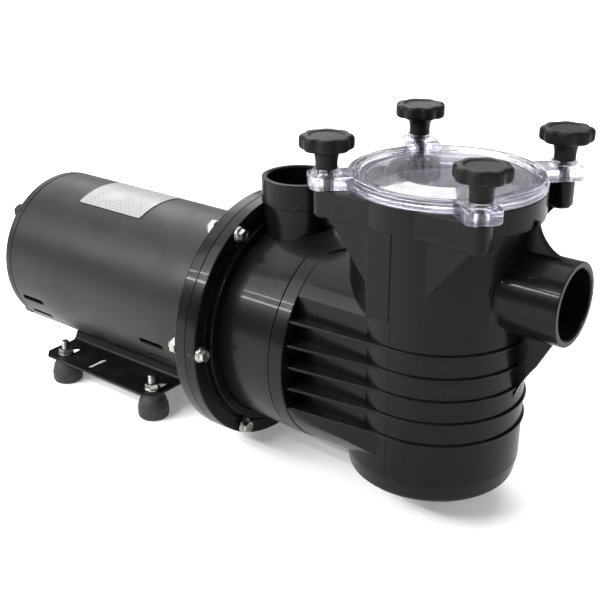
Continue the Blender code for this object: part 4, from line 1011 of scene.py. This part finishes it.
def strainer_basket():
    """Pale basket: slotted wall in three tiers, ringed rim, pierced floor and a lifting bar."""
    base_r, top_r, wall = 60 * MM, 65 * MM, 1.8 * MM
    base, top = low("strainer_basket", 2), high("strainer_basket", 2)
    basket = turned("basket_moulding", [
        (0.0, base), (base_r, base, 3 * MM), (top_r, top - 3 * MM, 0.3 * MM),
        (top_r + 3 * MM, top - 3 * MM, 0.6 * MM),
        (top_r + 3 * MM, top, 0.8 * MM), (top_r - wall, top, 0.8 * MM),
        (base_r - wall, base + wall, 2 * MM),
        (0.0, base + wall),
    ], 0.0, POT, "Z", 144)
    cutters = []
    for tier in range(3):
        for spin in around(60, 3.0 * (tier % 2)):
            start = base + (10 + 73 * tier) * MM
            outline = slot_outline(66 * MM, 3.4 * MM, start + 33 * MM)
            cutter = prism("slot", [(-up, across) for across, up in outline], 50 * MM, 75 * MM, "XY")
            swing(cutter, PLANES["YZ"], spin, "Z", POT)
            cutters.append(cutter)
    for ring, count in ((14, 8), (28, 16), (42, 24)):
        for spin in around(count):
            turn = math.radians(spin)
            place = (POT_X + ring * MM * math.cos(turn), ring * MM * math.sin(turn), 0.0)
            cutters.append(rod("hole", 2.6 * MM, base - 5 * MM, base + 8 * MM, place, "Z", 16))
    cut(basket, merged("slots", cutters))
    cut(basket, rod("mouth", 30 * MM, POT_X + 30 * MM, POT_X + 90 * MM, SUCTION, steps=96))
    frame_ring = lathe("mouth_ring", rounded([
        (28.6 * MM, POT_X + 55 * MM), (31.5 * MM, POT_X + 55 * MM), (31.5 * MM, POT_X + 64 * MM),
        (28.6 * MM, POT_X + 64 * MM),
    ], 0.5 * MM), SUCTION, "X", 96)
    bar = prism("bar", rounded([
        (1.5 * MM - top_r, 257 * MM), (-40 * MM, 258 * MM, 20 * MM), (0.0, 263.5 * MM, 40 * MM),
        (40 * MM, 258 * MM, 20 * MM), (top_r - 1.5 * MM, 257 * MM), (top_r - 1.5 * MM, 262 * MM),
        (0.0, 268 * MM, 40 * MM), (1.5 * MM - top_r, 262 * MM),
    ], 0.0), -5 * MM, 5 * MM, "YZ", POT, edge=1.2 * MM)
    join(basket, frame_ring, bar)
    finish(basket, "basket_plastic", "basket", "strainer_basket")


def knobs():
    """Eight-lobed hand knobs on flared stems, with a shallow dish on top and a moulded-in stud."""
    head = KNOB_TOP - 11.5 * MM
    lobe = 2.0 * MM
    profile = [
        (0.0, KNOB_TOP - 1.4 * MM), (12.5 * MM, KNOB_TOP - 1.4 * MM), (13.4 * MM, KNOB_TOP - 1.1 * MM),
        (14.2 * MM, KNOB_TOP - 0.3 * MM), (15.0 * MM, KNOB_TOP), (KNOB_R - 3.4 * MM, KNOB_TOP, lobe * 0.8),
        (KNOB_R - 1.8 * MM, KNOB_TOP - 0.4 * MM, lobe),
        (KNOB_R - 0.6 * MM, KNOB_TOP - 1.4 * MM, lobe * 1.1),
        (KNOB_R, KNOB_TOP - 3 * MM, lobe * 1.2), (KNOB_R, head + 3.2 * MM, lobe * 1.2),
        (KNOB_R - 0.6 * MM, head + 1.4 * MM, lobe * 1.1), (KNOB_R - 2.2 * MM, head + 0.3 * MM, lobe * 0.9),
        (KNOB_R - 5 * MM, head, lobe * 0.4), (13.5 * MM, head - 0.3 * MM), (11.2 * MM, head - 1.6 * MM),
        (9.7 * MM, head - 4.0 * MM), (9.0 * MM, head - 7.5 * MM), (8.7 * MM, head - 11 * MM),
        (8.9 * MM, WASHER_Z[1] + 1.6 * MM), (8.8 * MM, WASHER_Z[1] + 0.7 * MM),
        (8.3 * MM, WASHER_Z[1] + 0.3 * MM),
    ]
    stud = threaded(4.85 * MM, low("knob_1", 2), WASHER_Z[1] + 0.3 * MM, 1.5 * MM)
    for number, knob in enumerate(KNOBS, 1):
        points = profile + list(reversed(stud))[1:]
        piece = lathe(f"hand_knob_{number}", points, knob, "Z", 128, 8)
        piece.data.transform(Matrix.Translation(knob) @ Matrix.Rotation(0.31 * number, 4, "Z")
                             @ Matrix.Translation(-knob))
        finish(piece, "knob_plastic", f"knob_{number}", f"knob_{number}", sharp=40)


# ---- stage -----------------------------------------------------------------------------------


def lamp(name, kind, location, target, energy, **settings):
    """A light at a place, turned to face its target."""
    data = bpy.data.lights.new(name, kind)
    data.energy = energy
    for key, value in settings.items():
        setattr(data, key, value)
    obj = bpy.data.objects.new(name, data)
    obj.location = location
    obj.rotation_euler = (Vector(target) - Vector(location)).to_track_quat("-Z", "Y").to_euler()
    bpy.context.scene.collection.objects.link(obj)


def stage():
    """Pale floor, soft studio light, and the camera."""
    form = bmesh.new()
    bmesh.ops.create_grid(form, x_segments=1, y_segments=1, size=8.0)
    floor = placed("floor", form, Matrix.Identity(4))
    glow = {"Emission_Color": (1.0, 1.0, 1.0, 1.0), "Emission_Strength": 0.22}
    look = Look("floor_paint", (0.94, 0.94, 0.94), 0.7, **glow)
    look.grain(300.0, 0.05 * MM, 0.05)
    floor.data.materials.append(look.done(look.mottle(3.0, 0.01)))
    world = bpy.data.worlds.new("studio")
    world.use_nodes = True
    world.node_tree.nodes["Background"].inputs["Color"].default_value = (1.0, 1.0, 1.0, 1.0)
    world.node_tree.nodes["Background"].inputs["Strength"].default_value = 0.36
    bpy.context.scene.world = world
    aim = Vector((0.0, 0.0, 0.15))
    lamp("sky", "SUN", (-1.4, 1.2, 3.6), aim, 2.8, angle=1.2)
    lamp("key", "AREA", (-1.6, -1.5, 2.2), aim, 30.0, shape="RECTANGLE", size=1.2, size_y=1.2)
    lamp("back", "AREA", (-1.3, 1.4, 1.5), aim, 16.0, shape="RECTANGLE", size=1.4, size_y=0.9)
    lamp("side", "AREA", (2.1, 0.15, 0.8), aim, 9.0, shape="RECTANGLE", size=0.35, size_y=1.3)
    for name, height, width, energy in (("strip_low", 1.03, 0.05, 26.0), ("strip_high", 1.31, 0.03, 16.0)):
        place = Vector((-0.86, -1.27, height))
        lamp(name, "AREA", place, (place.x, 0.0, AXIS_Z), energy, shape="RECTANGLE", size=1.7, size_y=width)
    camera = bpy.data.cameras.new("camera")
    camera.sensor_width = 36.0
    camera.lens = CAMERA_LENS
    view = bpy.data.objects.new("camera", camera)
    view.location = CAMERA_PLACE
    view.rotation_euler = (math.pi / 2 - CAMERA_DOWN, 0.0, CAMERA_TURN)
    bpy.context.scene.collection.objects.link(view)
    bpy.context.scene.camera = view
    bpy.context.scene.view_settings.view_transform = "Standard"


for row in frame["record"]["subparts"]:
    node = frame["nodes"][row["node"]]
    node.data.materials.clear()
    node.data.materials.append(LOOKS[row["material_slot"]])

motor_shell()
end_bells()
through_bolts()
nameplate()
base_plate()
feet()
seal_plate()
volute_housing()
flange_fasteners()
strainer_body()
lid()
washers()
strainer_basket()
knobs()
stage()

bpy.context.view_layer.update()
